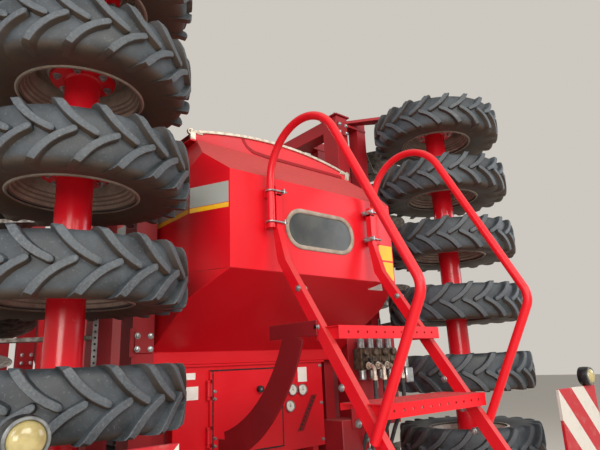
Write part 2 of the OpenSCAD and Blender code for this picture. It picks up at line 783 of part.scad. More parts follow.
module hopper_funnel() {
    color(red) difference() {
        funnel_solid(0);
        funnel_solid(wall);
        block([-funnel_x + wall, funnel_y[0] + wall, floor_z - 3], [funnel_x - wall, funnel_y[1] - wall, floor_z + 1]);
        block([-outlet_x + wall, outlet_y[0] + wall, outlet_z - 1],
            [outlet_x - wall, outlet_y[1] - wall, outlet_z + 3]);
    }
}

bow_x = rim_x + 18;
bow_z = rim_z + 40;
bow_r = (bow_x * bow_x + bow_rise * bow_rise) / (2 * bow_rise);
bow_angle = asin(bow_x / bow_r);

// Arc segment that the cover and its bows follow, from radius r0 to r1
module bow_band(r0, r1) {
    translate([0, bow_z + bow_rise - bow_r]) intersection() {
        difference() {
            circle(r = r1, $fn = 256);
            circle(r = r0, $fn = 256);
        }
        polygon([[0, 0], [2 * bow_r * sin(bow_angle), 2 * bow_r * cos(bow_angle)],
            [-2 * bow_r * sin(bow_angle), 2 * bow_r * cos(bow_angle)]]);
    }
}

module hopper_cover() {
    y0 = hop_y + rim_y;
    y1 = hop_y + hop_len - rim_y;
    color(red) {
        along_y(y0 + 12, y1 - 12) bow_band(bow_r - 4, bow_r);
        for (y = [y0 + 12, y1 - 16]) along_y(y, y + 4) intersection() {
            translate([0, bow_z + bow_rise - bow_r]) circle(r = bow_r - 2, $fn = 256);
            translate([-rim_x, rim_z + fit]) square([2 * rim_x, 200]);
        }
    }
}

module cover_bows() {
    y0 = hop_y + rim_y;
    y1 = hop_y + hop_len - rim_y;
    color(silver) for (y = [y0, y1 - 12]) {
        along_y(y, y + 12 - fit) bow_band(bow_r - 8, bow_r + 6);
        for (s = [-1, 1]) block([s * bow_x - 14, y, rim_z + fit], [s * bow_x + 14, y + 12 - fit, bow_z]);
    }
}

module hopper_window() {
    color(black) difference() {
        translate([0, hop_y + 14, window_z]) rotate([90, 0, 0]) linear_extrude(22) window_shape(-fit);
        translate([0, hop_y - 3, window_z]) rotate([90, 0, 0]) linear_extrude(10) window_shape(-14);
    }
}

module metering_unit() {
    color(grey) {
        block([-outlet_x - 20, outlet_y[0] - 20, outlet_z - 14], [outlet_x + 20, outlet_y[1] + 20, outlet_z - fit]);
        block([-outlet_x, outlet_y[0], 1040], [outlet_x, outlet_y[1], outlet_z - 14]);
        for (x = [-90, 90]) translate([x, outlet_y[0] - 60, 1080]) rotate([-90, 0, 0])
            cylinder(h = outlet_y[1] - outlet_y[0] + 120, d = 110, $fn = 48);
    }
}

// Fan under the hopper's rear slope; its axis runs along X
fan_y = rear_beam_y + 160;
fan_z = frame_top + 305;
fan_r = 230;
shaft_d = 40;
fan_w = 150;
inlet_r = 120;

module fan_housing() {
    color(black) difference() {
        union() {
            translate([-fan_w / 2, fan_y, fan_z]) rotate([0, 90, 0]) cylinder(h = fan_w, r = fan_r, $fn = 96);
            block([-fan_w / 2, fan_y - 420, fan_z - fan_r], [fan_w / 2, fan_y, fan_z - fan_r + 130]);
        }
        translate([-fan_w / 2 + 4, fan_y, fan_z]) rotate([0, 90, 0]) cylinder(h = fan_w - 8, r = fan_r - 4, $fn = 96);
        translate([0, fan_y, fan_z]) rotate([0, 90, 0]) cylinder(h = fan_w, r = inlet_r, $fn = 64);
        translate([-fan_w / 2 - 1, fan_y, fan_z]) rotate([0, 90, 0])
            cylinder(h = fan_w, d = shaft_d + 2 * run_gap, $fn = 48);
        block([-fan_w / 2 + 4, fan_y - 421, fan_z - fan_r + 4], [fan_w / 2 - 4, fan_y, fan_z - fan_r + 126]);
    }
    color(red) block([-60, rear_beam_y - 50, frame_top + fit], [60, rear_beam_y + 50, fan_z - fan_r]);
}

guard_t = 3;
guard_wire = 5;

// Wire guard over the fan's inlet: rings and spokes on a flat flange
module fan_guard() {
    color(black) translate([fan_w / 2, fan_y, fan_z]) {
        rotate([0, 90, 0]) difference() {
            cylinder(h = guard_t, r = inlet_r + 14, $fn = 64);
            translate([0, 0, -1]) cylinder(h = guard_t + 2, r = inlet_r - 4, $fn = 64);
        }
        translate([guard_wire / 2 + 0.5, 0, 0]) rotate([0, 90, 0]) {
            for (r = [0.4 * inlet_r, 0.7 * inlet_r]) rotate_extrude($fn = 64) translate([r, 0])
                circle(d = guard_wire - 1, $fn = 16);
            for (a = [0 : 45 : 315]) rotate([0, 0, a]) rod([15, 0, 0], [inlet_r + 6, 0, 0], guard_wire);
            cylinder(h = guard_wire + 4, r = 20, center = true, $fn = 32);
        }
    }
}

module fan_rotor() {
    color(grey) translate([0, fan_y, fan_z]) {
        translate([-fan_w / 2 + 12, 0, 0]) rotate([0, 90, 0]) cylinder(h = 4, r = fan_r - 30, $fn = 64);
        translate([-fan_w / 2, 0, 0]) rotate([0, 90, 0]) cylinder(h = fan_w - 12, d = shaft_d, $fn = 48);
        for (a = [0 : 36 : 324]) rotate([a, 0, 0])
            block([-fan_w / 2 + 16, -2, 60], [fan_w / 2 - 16, 2, fan_r - 30]);
    }
}

tower_x = 260;
tower_z = 1980;

module seed_tower() {
    color(grey) both() translate([tower_x, tower_y, 0]) {
        translate([0, 0, frame_top + fit]) cylinder(h = tower_z - frame_top - fit, d = 110, $fn = 48);
        translate([0, 0, tower_z]) cylinder(h = 90, d = 380, $fn = 64);
        translate([0, 0, tower_z + 90]) cylinder(h = 40, d1 = 380, d2 = 180, $fn = 64);
        for (a = [0 : 18 : 342]) rotate([0, 0, a]) translate([180, 0, tower_z + 40])
            rotate([0, 90, 0]) cylinder(h = 60, d = 32, $fn = 24);
    }
}

// Control cabinet under the hopper's front edge
cab_x = [-480, 440];
cab_y = [480, 800];
cab_z = [1150, 1590];
door_x = [-285, 130];
door_z = [1190, 1560];
door_t = 14;
door_lap = 12;
hinge_at = [door_x[0] - door_lap - 6, cab_y[0] - 12];
knuckle_z = [1240, 1450];
knuckle_h = 60;
knuckle_d = 20;
knuckle_pin = 10;

module control_cabinet() {
    color(red) difference() {
        block([cab_x[0], cab_y[0], cab_z[0]], [cab_x[1], cab_y[1], cab_z[1]]);
        block([cab_x[0] + 4, cab_y[0] + 4, cab_z[0] + 4], [cab_x[1] - 4, cab_y[1] - 4, cab_z[1] - 4]);
        block([door_x[0], cab_y[0] - 1, door_z[0]], [door_x[1], cab_y[0] + 5, door_z[1]]);
    }
    color(red) for (z = knuckle_z) {
        translate([hinge_at[0], hinge_at[1], z - 14]) cylinder(h = knuckle_h + 28, d = knuckle_pin, $fn = 32);
        for (low = [z - 14, z + knuckle_h + 2])
            block([hinge_at[0] - 10, hinge_at[1] - 7, low], [hinge_at[0] + 5, cab_y[0] + 2, low + 12]);
    }
    color(red) block([cab_x[0] - 12, cab_y[0] - 12, cab_z[1]], [cab_x[1] + 12, cab_y[1], floor_z - fit]);
    color(red) for (x = [cab_x[0] + 20, cab_x[1] - 60])
        block([x, post_y[0] - 45, frame_top + fit], [x + 40, post_y[0] + 45, cab_z[0]]);
}

module cabinet_door() {
    color(red) difference() {
        union() {
            block([door_x[0] - door_lap, cab_y[0] - fit - door_t, door_z[0] - door_lap],
                [door_x[1] + door_lap, cab_y[0] - fit, door_z[1] + door_lap]);
            for (z = knuckle_z) translate([hinge_at[0], hinge_at[1], z])
                cylinder(h = knuckle_h, d = knuckle_d, $fn = 48);
        }
        for (z = knuckle_z) {
            translate([hinge_at[0], hinge_at[1], z - 1])
                cylinder(h = knuckle_h + 2, d = knuckle_pin + 2 * run_gap, $fn = 32);
            for (low = [z - 17, z + knuckle_h])
                block([hinge_at[0], cab_y[0] - 40, low], [hinge_at[0] + 20, cab_y[0], low + 17]);
        }
    }
    color(black) translate([-10, cab_y[0] - fit - door_t, 1468]) rotate([90, 0, 0])
        cylinder(h = 22, d = 34, $fn = 48);
}

module gauge_panel() {
    color("white") for (p = [[285, 1448], [215, 1451], [195, 1369]])
        translate([p[0], cab_y[0] - fit, p[1]]) rotate([90, 0, 0]) cylinder(h = 14, d = 60, $fn = 48);
}

// Ladder, handrails and their brace

slope_top = [-172, 1951];
slope_foot = [-592, 1342];
slope = (slope_foot[0] - slope_top[0]) / (slope_foot[1] - slope_top[1]);
function slope_y(z) = slope_top[0] + (z - slope_top[1]) * slope;
foot_z = frame_top + 50;

step_lip = 48;
step_deep = 200;

// Folded step with its top at z: a front lip with a row of holes, a tread with drain holes, a rear lip
module step(z) {
    y0 = slope_y(z) - step_deep / 2;
    y1 = slope_y(z) + step_deep / 2;
    difference() {
        union() {
            block([-ladder_x, y0, z - step_lip], [ladder_x, y0 + 4, z]);
            block([-ladder_x, y0, z - 4], [ladder_x, y1, z]);
            block([-ladder_x, y1 - 4, z - step_lip / 2], [ladder_x, y1, z]);
            for (s = [-1, 1]) block([s * (ladder_x - 15) - 4, y0, z - step_lip],
                [s * (ladder_x - 15) + 4, slope_y(z) + 40, z]);
        }
        for (x = [-250 : 50 : 250]) translate([x, y0 - 1, z - step_lip / 2]) rotate([-90, 0, 0])
            cylinder(h = 6, d = lip_hole_d, $fn = 24);
        for (x = [-240 : 60 : 240]) for (y = [y0 + 60, y1 - 60]) translate([x, y, z - 5])
            cylinder(h = 6, d = 24, $fn = 24);
    }
}

module ladder() {
    color(red) {
        both() translate([ladder_x, 0, 0]) {
            along_x(30) {
                polygon([[slope_y(foot_z) - 30, foot_z], [slope_y(foot_z) + 30, foot_z],
                    [slope_y(2000) + 26, 2000], [-84, 2150], [-84, 2300], [-116, 2300], [-116, 2150],
                    [slope_y(2000) - 26, 2000]]);
            }
        }
        for (i = [0 : 2]) step(step_top - i * step_rise);
        block([-ladder_x - 15, slope_y(foot_z) - 25, foot_z - 30], [ladder_x + 15, slope_y(foot_z) + 25, foot_z + 10]);
        saddle(slope_y(foot_z), 40, foot_z - 30);
    }
}

rail_x_out = ladder_x + 15 + rail_d / 2 + fit;
rail_y = -100;

module handrails() {
    color(red) both() translate([rail_x_out, 0, 0])
        pipe([[rail_y, 2147], [rail_y, 3227], [-845, 1797], [-600, 1330]], [0, 215, 80, 0], rail_d);
    color(silver) both() for (z = [2172, 2311])
        block([ladder_x + 15 + fit, rail_y - rail_d / 2 - 6, z - 4], [rail_x_out + rail_d / 2 + 6, hop_y - fit, z + 4]);
}

brace_r = 700;
brace_c = [453, 1929];
brace_w = 120;

module ladder_brace() {
    color(dark_red) translate([-ladder_x - 15 - 5, 0, 0]) along_x(10) {
        translate(brace_c) intersection() {
            difference() {
                circle(r = brace_r + brace_w / 2, $fn = 200);
                circle(r = brace_r - brace_w / 2, $fn = 200);
            }
            polygon([[0, 0], [-1000 * cos(20), -1000 * sin(20)], [-1300, -900], [-900, -1300],
                [-1000 * cos(76), -1000 * sin(76)]]);
        }
        translate([-345, 1680]) square([290, 57]);
        translate([245, frame_top]) square([100, 290]);
    }
}

valve_pitch = 62;
valve_z = 1592;

// Spool valve: a cast section with a spool cap above and below and a lever that leans to the front
module valve_section() {
    color(silver) {
        block([-28, -28, -46], [28, 28, 46]);
        for (z = [-90, 46]) translate([0, 0, z]) cylinder(h = 44, d = 32, $fn = 32);
    }
    color(black) {
        rod([0, 0, 84], [0, -70, 130], 10);
        translate([0, -74, 133]) sphere(d = 26, $fn = 32);
    }
}

module valve_block() {
    color(dark_red) {
        block([75, -104, 1300], [400, -98, 1690]);
        block([20, -98, neck_z + bar_h / 2 + fit], [140, 20, 1340]);
    }
    for (i = [0 : 3]) translate([130 + i * valve_pitch, -132, valve_z]) valve_section();
}

// Lights and boards

board = 423;
board_y = -590;
arm_z = frame_top + 105;
board_z = arm_z - 101;
board_x = 1000;

sheet = 3;
flange = 15;
lamp_x = 1340;

// Warning board folded from sheet, with its face at the front and its flanges towards the back
module board_tray() {
    difference() {
        cube([board, flange, board]);
        translate([sheet, sheet, sheet]) cube([board - 2 * sheet, flange, board - 2 * sheet]);
    }
}

module front_boards() {
    color("white") both() translate([board_x, board_y, board_z]) board_tray();
    color(red) both() {
        rod([0, board_y + 30, arm_z], [board_x + 60, board_y + 30, arm_z], 48);
        block([board_x + 30, board_y + sheet, arm_z - 30], [board_x + 70, board_y + 30, arm_z + 30]);
    }
    color(red) saddle(board_y + 30, 40, arm_z - 10);
}

module front_lamps() {
    both() translate([lamp_x, board_y, board_z + board + 47]) {
        color(black) {
            translate([0, 30, 0]) rotate([90, 0, 0]) cylinder(h = 50, d = 94, $fn = 64);
            block([-15, flange + fit, -90], [15, flange + 8, -40]);
        }
        color("white") translate([0, -20, 0]) rotate([90, 0, 0]) cylinder(h = 8, d = 80, $fn = 64);
    }
}

rear_y = 2 * y_mid + hitch_y + link_hub_d / 2;
rear_board_z = beam_z - 35;
rear_board_x = 500;

module rear_boards() {
    color(red) both() {
        translate([rear_board_x, rear_y, rear_board_z]) mirror([0, 1, 0]) board_tray();
        block([rail_x - 30, rail_back, beam_z - 30], [rail_x + 30, rear_y - sheet, beam_z + 30]);
    }
}

module rear_lamps() {
    color(dark_red) both() block([rear_board_x + 40, rear_y - 50, rear_board_z - 90],
        [rear_board_x + 340, rear_y, rear_board_z - fit]);
}

// The frame the whole machine stands in
module seat() {
    translate([0, -y_mid, 0]) children();
}

seat() main_frame();
seat() hopper_posts();
seat() wing_pivots();
seat() axle_supports();
seat() cylinder_brackets();
seat() fan_guard();
seat() drawbar();
seat() jack_tube();
seat() hopper_lower();
seat() hopper_upper();
seat() hopper_cover();
seat() cover_bows();
seat() hopper_window();
seat() hopper_funnel();
seat() metering_unit();
seat() fan_housing();
seat() seed_tower();
seat() control_cabinet();
seat() gauge_panel();
seat() ladder();
seat() handrails();
seat() ladder_brace();
seat() valve_block();
seat() front_boards();
seat() front_lamps();
seat() rear_boards();
seat() rear_lamps();
seat() disc_gang_center();
seat() coulters_center();
seat() hitch_head();
seat() jack_leg();
seat() cabinet_door();
seat() fan_rotor();
seat() tyres_center();
seat() axle_center();
seat() mirror([1, 0, 0]) rear_tyres();  // tyres_rear_left
seat() mirror([1, 0, 0]) rear_rims();  // rims_rear_left
seat() rear_tyres();  // tyres_rear_right
seat() rear_rims();  // rims_rear_right
seat() mirror([1, 0, 0]) {  // wing_frame_left
    wing_frame();
    wing_lugs(-1);
}
seat() mirror([1, 0, 0]) wing_disc_gang();  // disc_gang_left
seat() mirror([1, 0, 0]) wing_coulters();  // coulters_left
seat() mirror([1, 0, 0]) wing_tyres_row();  // tyres_left
seat() mirror([1, 0, 0]) wing_axle();  // axle_left
seat() {  // wing_frame_right
    wing_frame();
    wing_lugs(1);
}
seat() wing_disc_gang();  // disc_gang_right
seat() wing_coulters();  // coulters_right
seat() wing_tyres_row();  // tyres_right
seat() wing_axle();  // axle_right
seat() fold_cylinder(-1);  // cylinder_left
seat() fold_rod(-1);  // rod_left
seat() fold_cylinder(1);  // cylinder_right
seat() fold_rod(1);  // rod_right
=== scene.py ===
import json
import math

import bmesh
import bpy
import numpy as np
from mathutils import Matrix, Vector

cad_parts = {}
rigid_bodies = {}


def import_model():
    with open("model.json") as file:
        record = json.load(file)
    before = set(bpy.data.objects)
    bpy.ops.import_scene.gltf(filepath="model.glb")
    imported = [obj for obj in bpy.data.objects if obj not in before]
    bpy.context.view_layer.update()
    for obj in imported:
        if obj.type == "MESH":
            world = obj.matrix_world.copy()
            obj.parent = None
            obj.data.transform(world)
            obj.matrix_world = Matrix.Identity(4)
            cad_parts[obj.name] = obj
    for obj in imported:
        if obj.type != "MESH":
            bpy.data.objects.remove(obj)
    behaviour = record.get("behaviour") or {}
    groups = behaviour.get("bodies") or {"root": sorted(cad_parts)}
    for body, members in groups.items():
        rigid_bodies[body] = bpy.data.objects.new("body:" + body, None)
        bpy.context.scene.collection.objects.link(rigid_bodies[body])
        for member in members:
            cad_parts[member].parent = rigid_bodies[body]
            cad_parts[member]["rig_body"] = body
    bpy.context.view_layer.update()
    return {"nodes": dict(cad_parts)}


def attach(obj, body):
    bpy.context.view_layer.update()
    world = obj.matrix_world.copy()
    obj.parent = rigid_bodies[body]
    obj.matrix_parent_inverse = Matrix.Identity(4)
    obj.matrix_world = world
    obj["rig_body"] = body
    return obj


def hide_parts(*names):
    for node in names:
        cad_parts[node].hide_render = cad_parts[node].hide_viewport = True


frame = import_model()

# The view: a person stands at the front left corner, holds a phone at head height and tips it up
# at the folded wings. The place, the turn and the lens come from the two columns of tyres.
camera = bpy.data.objects.new("camera", bpy.data.cameras.new("camera"))
bpy.context.scene.collection.objects.link(camera)
bpy.context.scene.camera = camera
yaw, pitch, roll = (math.radians(a) for a in (40.634, 15.121, -2.474))
level_ahead = np.array([math.sin(yaw), math.cos(yaw), 0.0])
level_right = np.array([math.cos(yaw), -math.sin(yaw), 0.0])
ahead = math.cos(pitch) * level_ahead + math.sin(pitch) * np.array([0, 0, 1.0])
above = -math.sin(pitch) * level_ahead + math.cos(pitch) * np.array([0, 0, 1.0])
right = math.cos(roll) * level_right + math.sin(roll) * above
above = -math.sin(roll) * level_right + math.cos(roll) * above
seen_from = np.eye(4)
seen_from[:3, :3] = np.stack([right, above, -ahead], 1)
seen_from[:3, 3] = (-1.622, -2.289, 1.580)
camera.matrix_world = Matrix(seen_from)
camera.data.lens = 30.95
camera.data.clip_end = 100


# The studio: a pale floor that runs out to a pale surround, a broad soft lamp high in front,
# a weaker one on each side, and an even sky that fills the shadows.
def linear(code):
    """sRGB hex value to linear: below 0.04045 divided by 12.92, above it ((c + 0.055) / 1.055) ^ 2.4."""
    srgb = np.array([int(code[i:i + 2], 16) for i in (1, 3, 5)]) / 255
    return (*np.where(srgb < 0.04045, srgb / 12.92, ((srgb + 0.055) / 1.055) ** 2.4), 1.0)


def fill(tree, node, inputs):
    """Links each input to the output given for it, or gives it its value; a hex value is a colour."""
    for key, value in inputs.items():
        if isinstance(value, bpy.types.NodeSocket):
            tree.links.new(value, node.inputs[key])
        else:
            node.inputs[key].default_value = linear(value) if isinstance(value, str) else value


def add(tree, kind, inputs, output=0, **settings):
    """Adds one node with its settings and its inputs, and gives one of its outputs."""
    made = tree.nodes.new("ShaderNode" + kind)
    for key, value in settings.items():
        setattr(made, key, value)
    fill(tree, made, inputs)
    return made.outputs[output] if made.outputs else made


scene = bpy.context.scene
scene.view_settings.view_transform = "Standard"
scene.world = bpy.data.worlds.new("studio_sky")
scene.world.use_nodes = True
sky = scene.world.node_tree
sky.nodes.clear()
# camera, glossy and transmission rays see the pale surround, all other rays the sky's plain light
ray = sky.nodes.new("ShaderNodeLightPath").outputs
seen = add(sky, "Math", {0: ray["Is Camera Ray"], 1: ray["Is Glossy Ray"]}, operation="MAXIMUM")
seen = add(sky, "Math", {0: seen, 1: ray["Is Transmission Ray"]}, operation="MAXIMUM")
light = add(sky, "Background", {"Color": "#f4f1ec", "Strength": 0.5})
pale = add(sky, "Background", {"Color": "#cdc8c0", "Strength": 1.0})
add(sky, "OutputWorld", {"Surface": add(sky, "MixShader", {0: seen, 1: light, 2: pale})})

floor_mesh = bpy.data.meshes.new("floor")
floor_mesh.from_pydata([(-40, -40, 0), (40, -40, 0), (40, 40, 0), (-40, 40, 0)], [], [(0, 1, 2, 3)])
floor = bpy.data.objects.new("floor", floor_mesh)
scene.collection.objects.link(floor)
screed = bpy.data.materials.new("pale_screed")
screed.use_nodes = True
fill(screed.node_tree, screed.node_tree.nodes["Principled BSDF"], {"Base Color": "#cbc6be", "Roughness": 0.85})
floor_mesh.materials.append(screed)


def lamp(name, place, aim, width, height, watts, colour):
    """Area lamp whose -Z axis points from its place to its aim."""
    data = bpy.data.lights.new(name, "AREA")
    data.shape, data.size, data.size_y, data.energy = "RECTANGLE", width, height, watts
    data.color = linear(colour)[:3]
    made = bpy.data.objects.new(name, data)
    scene.collection.objects.link(made)
    towards = Vector(aim) - Vector(place)
    made.rotation_euler = towards.to_track_quat("-Z", "Y").to_euler()
    made.location = place


lamp("high_front", (-0.6, -8.6, 6.2), (0, 0, 1.6), 5.0, 3.6, 560, "#fffaf2")
lamp("high_left", (-7.0, -3.5, 5.5), (0, 0, 1.8), 3.5, 3.0, 230, "#f4f7ff")
lamp("low_front", (-6.4, -8.4, 3.0), (0, 0, 1.2), 4.5, 3.0, 460, "#fff8f0")
lamp("low_right", (6.5, -4.0, 4.0), (0, 0, 1.2), 4.0, 3.0, 160, "#f2f5ff")
lamp("behind", (2.0, 8.0, 5.5), (0, 1.0, 1.4), 5.0, 3.0, 330, "#fff8f0")


# Tyres: field tyres with bar tread, moulded in black rubber. Twenty bars a side stand out of the
# carcass in turn, run flat round the middle, bend out to the square shoulder, and are worn pale on top.
def drawn(points):
    """Millimetres from the front roller's axis, as the machine is drawn, to metres in the frame."""
    return np.asarray(points, float).reshape(-1, 3) / 1000 + (0, -0.5, 0)


def dressed(name, mesh, coat, sharp):
    """The piece of a finished mesh: one coat, smooth but for the edges steeper than sharp degrees."""
    mesh.polygons.foreach_set("use_smooth", np.ones(len(mesh.polygons), bool))
    mesh.set_sharp_from_angle(angle=math.radians(sharp))
    mesh.materials.append(coat)
    piece = bpy.data.objects.new(name, mesh)
    scene.collection.objects.link(piece)
    return piece


def put(name, parts, coat, body="frame", sharp=38.0, worn=None):
    """One piece from parts, each its points in millimetres and its arrays of faces. Doubles within a
    hundredth of a millimetre are merged, and normals recalculated. Worn is a value per point."""
    points, corners, sizes, first = [], [], [], 0
    for own, *face_sets in parts:
        own = np.asarray(own, float).reshape(-1, 3)
        for faces in face_sets:
            faces = np.asarray(faces, int)
            corners.append((faces + first).ravel())
            sizes.append(np.full(len(faces), faces.shape[1]))
        points.append(own)
        first += len(own)
    corners, sizes = np.concatenate(corners), np.concatenate(sizes)
    mesh = bpy.data.meshes.new(name)
    mesh.vertices.add(first)
    mesh.vertices.foreach_set("co", drawn(np.concatenate(points)).astype(np.float32).ravel())
    mesh.loops.add(len(corners))
    mesh.loops.foreach_set("vertex_index", corners.astype(np.int32))
    mesh.polygons.add(len(sizes))
    mesh.polygons.foreach_set("loop_start", (np.cumsum(sizes) - sizes).astype(np.int32))
    mesh.update(calc_edges=True)
    if worn is not None:
        mesh.attributes.new("worn", "FLOAT", "POINT").data.foreach_set("value", worn)
    shell = bmesh.new()
    shell.from_mesh(mesh)
    bmesh.ops.remove_doubles(shell, verts=shell.verts, dist=1e-5)
    bmesh.ops.recalc_face_normals(shell, faces=shell.faces)
    shell.to_mesh(mesh)
    shell.free()
    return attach(dressed(name, mesh, coat, sharp), body)


def lattice(rows, columns, close_rows=False, close_columns=False):
    """Four-sided faces of a grid of rows by columns of points, closed round where asked."""
    r = np.arange(rows if close_rows else rows - 1)[:, None]
    c = np.arange(columns if close_columns else columns - 1)[None, :]
    r2, c2 = (r + 1) % rows, (c + 1) % columns
    return np.stack([r * columns + c, r * columns + c2, r2 * columns + c2, r2 * columns + c], -1).reshape(-1, 4)


def ends(rows, n):
    """The two faces that close a tube of rows rings of n points: the first ring backwards, and the last."""
    return np.array([np.arange(n)[::-1], np.arange(n) + (rows - 1) * n])


def skin(points, rows, n):
    """Closed body of rows rings of n points each."""
    return points.reshape(-1, 3), lattice(rows, n, close_columns=True), ends(rows, n)


def unit(v):
    """Each vector over its length."""
    return v / np.linalg.norm(v, axis=-1, keepdims=True)


def turned(profile, segments, closed=True):
    """Surface of revolution round X: each (x, r) of the profile goes round a circle of radius r."""
    x, r = np.asarray(profile, float).T
    a = np.linspace(0, 2 * np.pi, segments, endpoint=False)[:, None]
    points = np.stack([x + 0 * a, -r * np.cos(a), r * np.sin(a)], -1)
    return points.reshape(-1, 3), lattice(segments, len(x), True, closed)


def copies(part, frames):
    """The part once for each 4 by 4 matrix: its points times the matrix, its faces numbered on."""
    points, *face_sets = part
    frames = np.asarray(frames, float).reshape(-1, 4, 4)
    moved = np.einsum("kij,nj->kni", frames[:, :3, :3], points) + frames[:, None, :3, 3]
    step = (np.arange(len(frames)) * len(points))[:, None, None]
    return (moved.reshape(-1, 3), *[(np.asarray(f)[None] + step).reshape(-1, np.shape(f)[1]) for f in face_sets])


def moved(x=0.0, y=0.0, z=0.0, axis="X", degrees=0.0):
    """4 by 4 matrix: a turn round one axis through the origin, then a shift."""
    m = np.array(Matrix.Rotation(math.radians(degrees), 4, axis))
    m[:3, 3] = (x, y, z)
    return m


def at(part, *place):
    """The part once, at a place as moved() takes it."""
    return copies(part, [moved(*place)])


tyre_half, lugs = 100.0, 20
sides = (("left", -1), ("right", 1))
tread_line = np.array([
    # carcass: x from the middle line and radius; top of a bar over it: x and radius
    (0, 368, 0, 390), (25, 367.5, 25, 389.7), (50, 366, 50, 388.8), (72, 362, 73, 387), (85, 354, 90, 383.5),
    (92, 342, 97.5, 377), (95, 326, 99.2, 360), (95, 310, 98.5, 338), (94, 293, 96, 306), (91, 272, 91, 272),
    (87, 250, 87, 250), (81, 232, 81, 232), (76, 219, 76, 219), (74, 208, 74, 208)], float)


def carcass():
    """Tread line, its mirror, and an inner line 12 mm inside, turned round the axle."""
    side = np.array([(0, 350), (70, 340), (83, 290), (72, 236), (62, 207)])
    line = tread_line[:, :2]
    outer = np.concatenate([line[::-1] * (-1, 1), line[1:]])
    inner = np.concatenate([side[1:][::-1], side * (-1, 1)])
    return turned(np.concatenate([outer, inner]), 84)


def tread():
    """Bars on the carcass. Along a bar, q runs over the tread line from the middle to the side wall and
    s goes back round the tyre, fast in the middle and slowly at the shoulder. Across it, each point
    lies a share of the way from the carcass to the top line; the foot is wider than the top."""
    line, top = tread_line[:, :2], tread_line[:, 2:]
    run = np.concatenate([[0], np.cumsum(np.hypot(*np.diff(line, axis=0).T))])
    # station: place across, how far back, half width of the top, share of the height
    stations = np.array([
        (-5, 8, 3.5, 0.84), (-4, 4, 7.2, 0.97), (-1, -2, 9.2, 1.0), (5, -13, 9.6, 1.0), (12, -27, 9.8, 1.0),
        (24, -46, 10.2, 1.0), (40, -66, 10.6, 1.0), (58, -84, 11, 1.0), (76, -99, 11.4, 1.0), (92, -110, 11.8, 1.0),
        (106, -117, 12.2, 1.0), (122, -123, 12.2, 1.0), (140, -128, 11.5, 1.0), (154, -131, 9, 1.0)], float)
    q, s, half, high = stations.T
    lead = unit(np.stack([np.gradient(q), np.gradient(s)], -1))
    across = np.array([(-1, 5, -0.12), (-1, 2.2, 0.45), (-1, 0.8, 0.93), (-1, -1.0, 1.0),
                       (1, -1.0, 1.0), (1, 0.8, 0.93), (1, 2.2, 0.45), (1, 5, -0.12)])
    reach = across[:, 0] * (half[:, None] + across[:, 1])
    q2 = q[:, None] - reach * lead[:, 1:2]
    s2 = s[:, None] + reach * lead[:, 0:1]
    share = across[:, 2] * high[:, None]
    foot_x, foot_r, top_x, top_r = (np.interp(q2, run, column) for column in (*line.T, *top.T))
    x = foot_x + share * (top_x - foot_x) + np.minimum(q2, 0)
    r = foot_r + share * (top_r - foot_r)
    a = s2 / 390
    bar = np.stack([x, -r * np.cos(a), r * np.sin(a)], -1).reshape(-1, 3)
    part = (bar, lattice(*q2.shape), ends(*q2.shape))
    pitch_angle = 360 / lugs
    one_side = copies(part, [moved(axis="X", degrees=-i * pitch_angle) for i in range(lugs)])
    mirrored = copies(part, [moved(axis="X", degrees=-(i + 0.5) * pitch_angle) for i in range(lugs)])
    points, *face_sets = mirrored
    return [one_side, (points * (-1, 1, 1), *[f[:, ::-1] for f in face_sets])], np.clip(share, 0, 1).ravel()


def finish(name, tone, patterns, coats, rough, bump=None, more=None):
    """Material of the named finish. A pattern is a cloud of noise in the piece's own space, by its scale,
    detail and coarseness; "up" is the height part of the normal, from -1 to 1, and "worn" the wear kept on
    the points. A mask is a smooth step on a pattern, (pattern, low, high, at low, at high), or
    (operation, mask, mask), or a function that builds one. Each coat lies on the tone as its mask says."""
    made = bpy.data.materials.new(name)
    made.use_nodes = True
    tree = made.node_tree
    where = tree.nodes.new("ShaderNodeTexCoord").outputs["Object"]

    def source(key):
        if callable(key):
            return key(tree, where)
        if key == "up":
            return add(tree, "SeparateXYZ", {0: add(tree, "NewGeometry", {}, "Normal")}, "Z")
        if key == "worn":
            return add(tree, "Attribute", {}, "Fac", attribute_name=key)
        return add(tree, "TexNoise", {"Vector": where, **dict(zip(("Scale", "Detail", "Roughness"), patterns[key]))})

    def mask(row):
        if callable(row):
            return row(tree, where)
        first, *rest = row
        if first.isupper():
            return add(tree, "Math", {i: mask(part) for i, part in enumerate(rest)}, operation=first)
        limits = dict(zip(("From Min", "From Max", "To Min", "To Max"), rest))
        return add(tree, "MapRange", {"Value": source(first), **limits}, interpolation_type="SMOOTHSTEP")

    for colour, row in coats:
        tone = add(tree, "Mix", {0: mask(row), 6: tone, 7: colour}, 2, data_type="RGBA")
    inputs = {"Base Color": tone, "Roughness": mask(rough) if isinstance(rough, tuple) else rough, **(more or {})}
    if bump:
        inputs["Normal"] = add(tree, "Bump", {"Height": source(bump[0]), "Strength": bump[1], "Distance": bump[2]})
    fill(tree, tree.nodes["Principled BSDF"], inputs)
    return made


# carbon-black rubber, moulded: blue-black and dull, paler where the bars' tops are scuffed, dry dust in
# patches, brown soil on what looks down
rubber = finish("moulded_tyre_rubber", "#262b2f", {"cloud": (9.0, 6.0, 0.6), "grit": (150.0, 4.0)}, [
    ("#434a50", ("cloud", 0.35, 0.7)),
    ("#50565b", ("MULTIPLY", ("worn", 0.55, 1.0), ("grit", 0.3, 0.62, 0.25, 0.7))),
    ("#7b7c78", ("grit", 0.58, 0.76, 0, 0.35)),
    ("#4b3d31", ("MULTIPLY", ("up", -0.25, -0.95), ("cloud", 0.25, 0.6, 0.5, 1)))],
    ("cloud", 0.3, 0.7, 0.5, 0.72), ("grit", 0.3, 0.0012))

bars, bar_wear = tread()
tyre_parts = [carcass(), *bars]
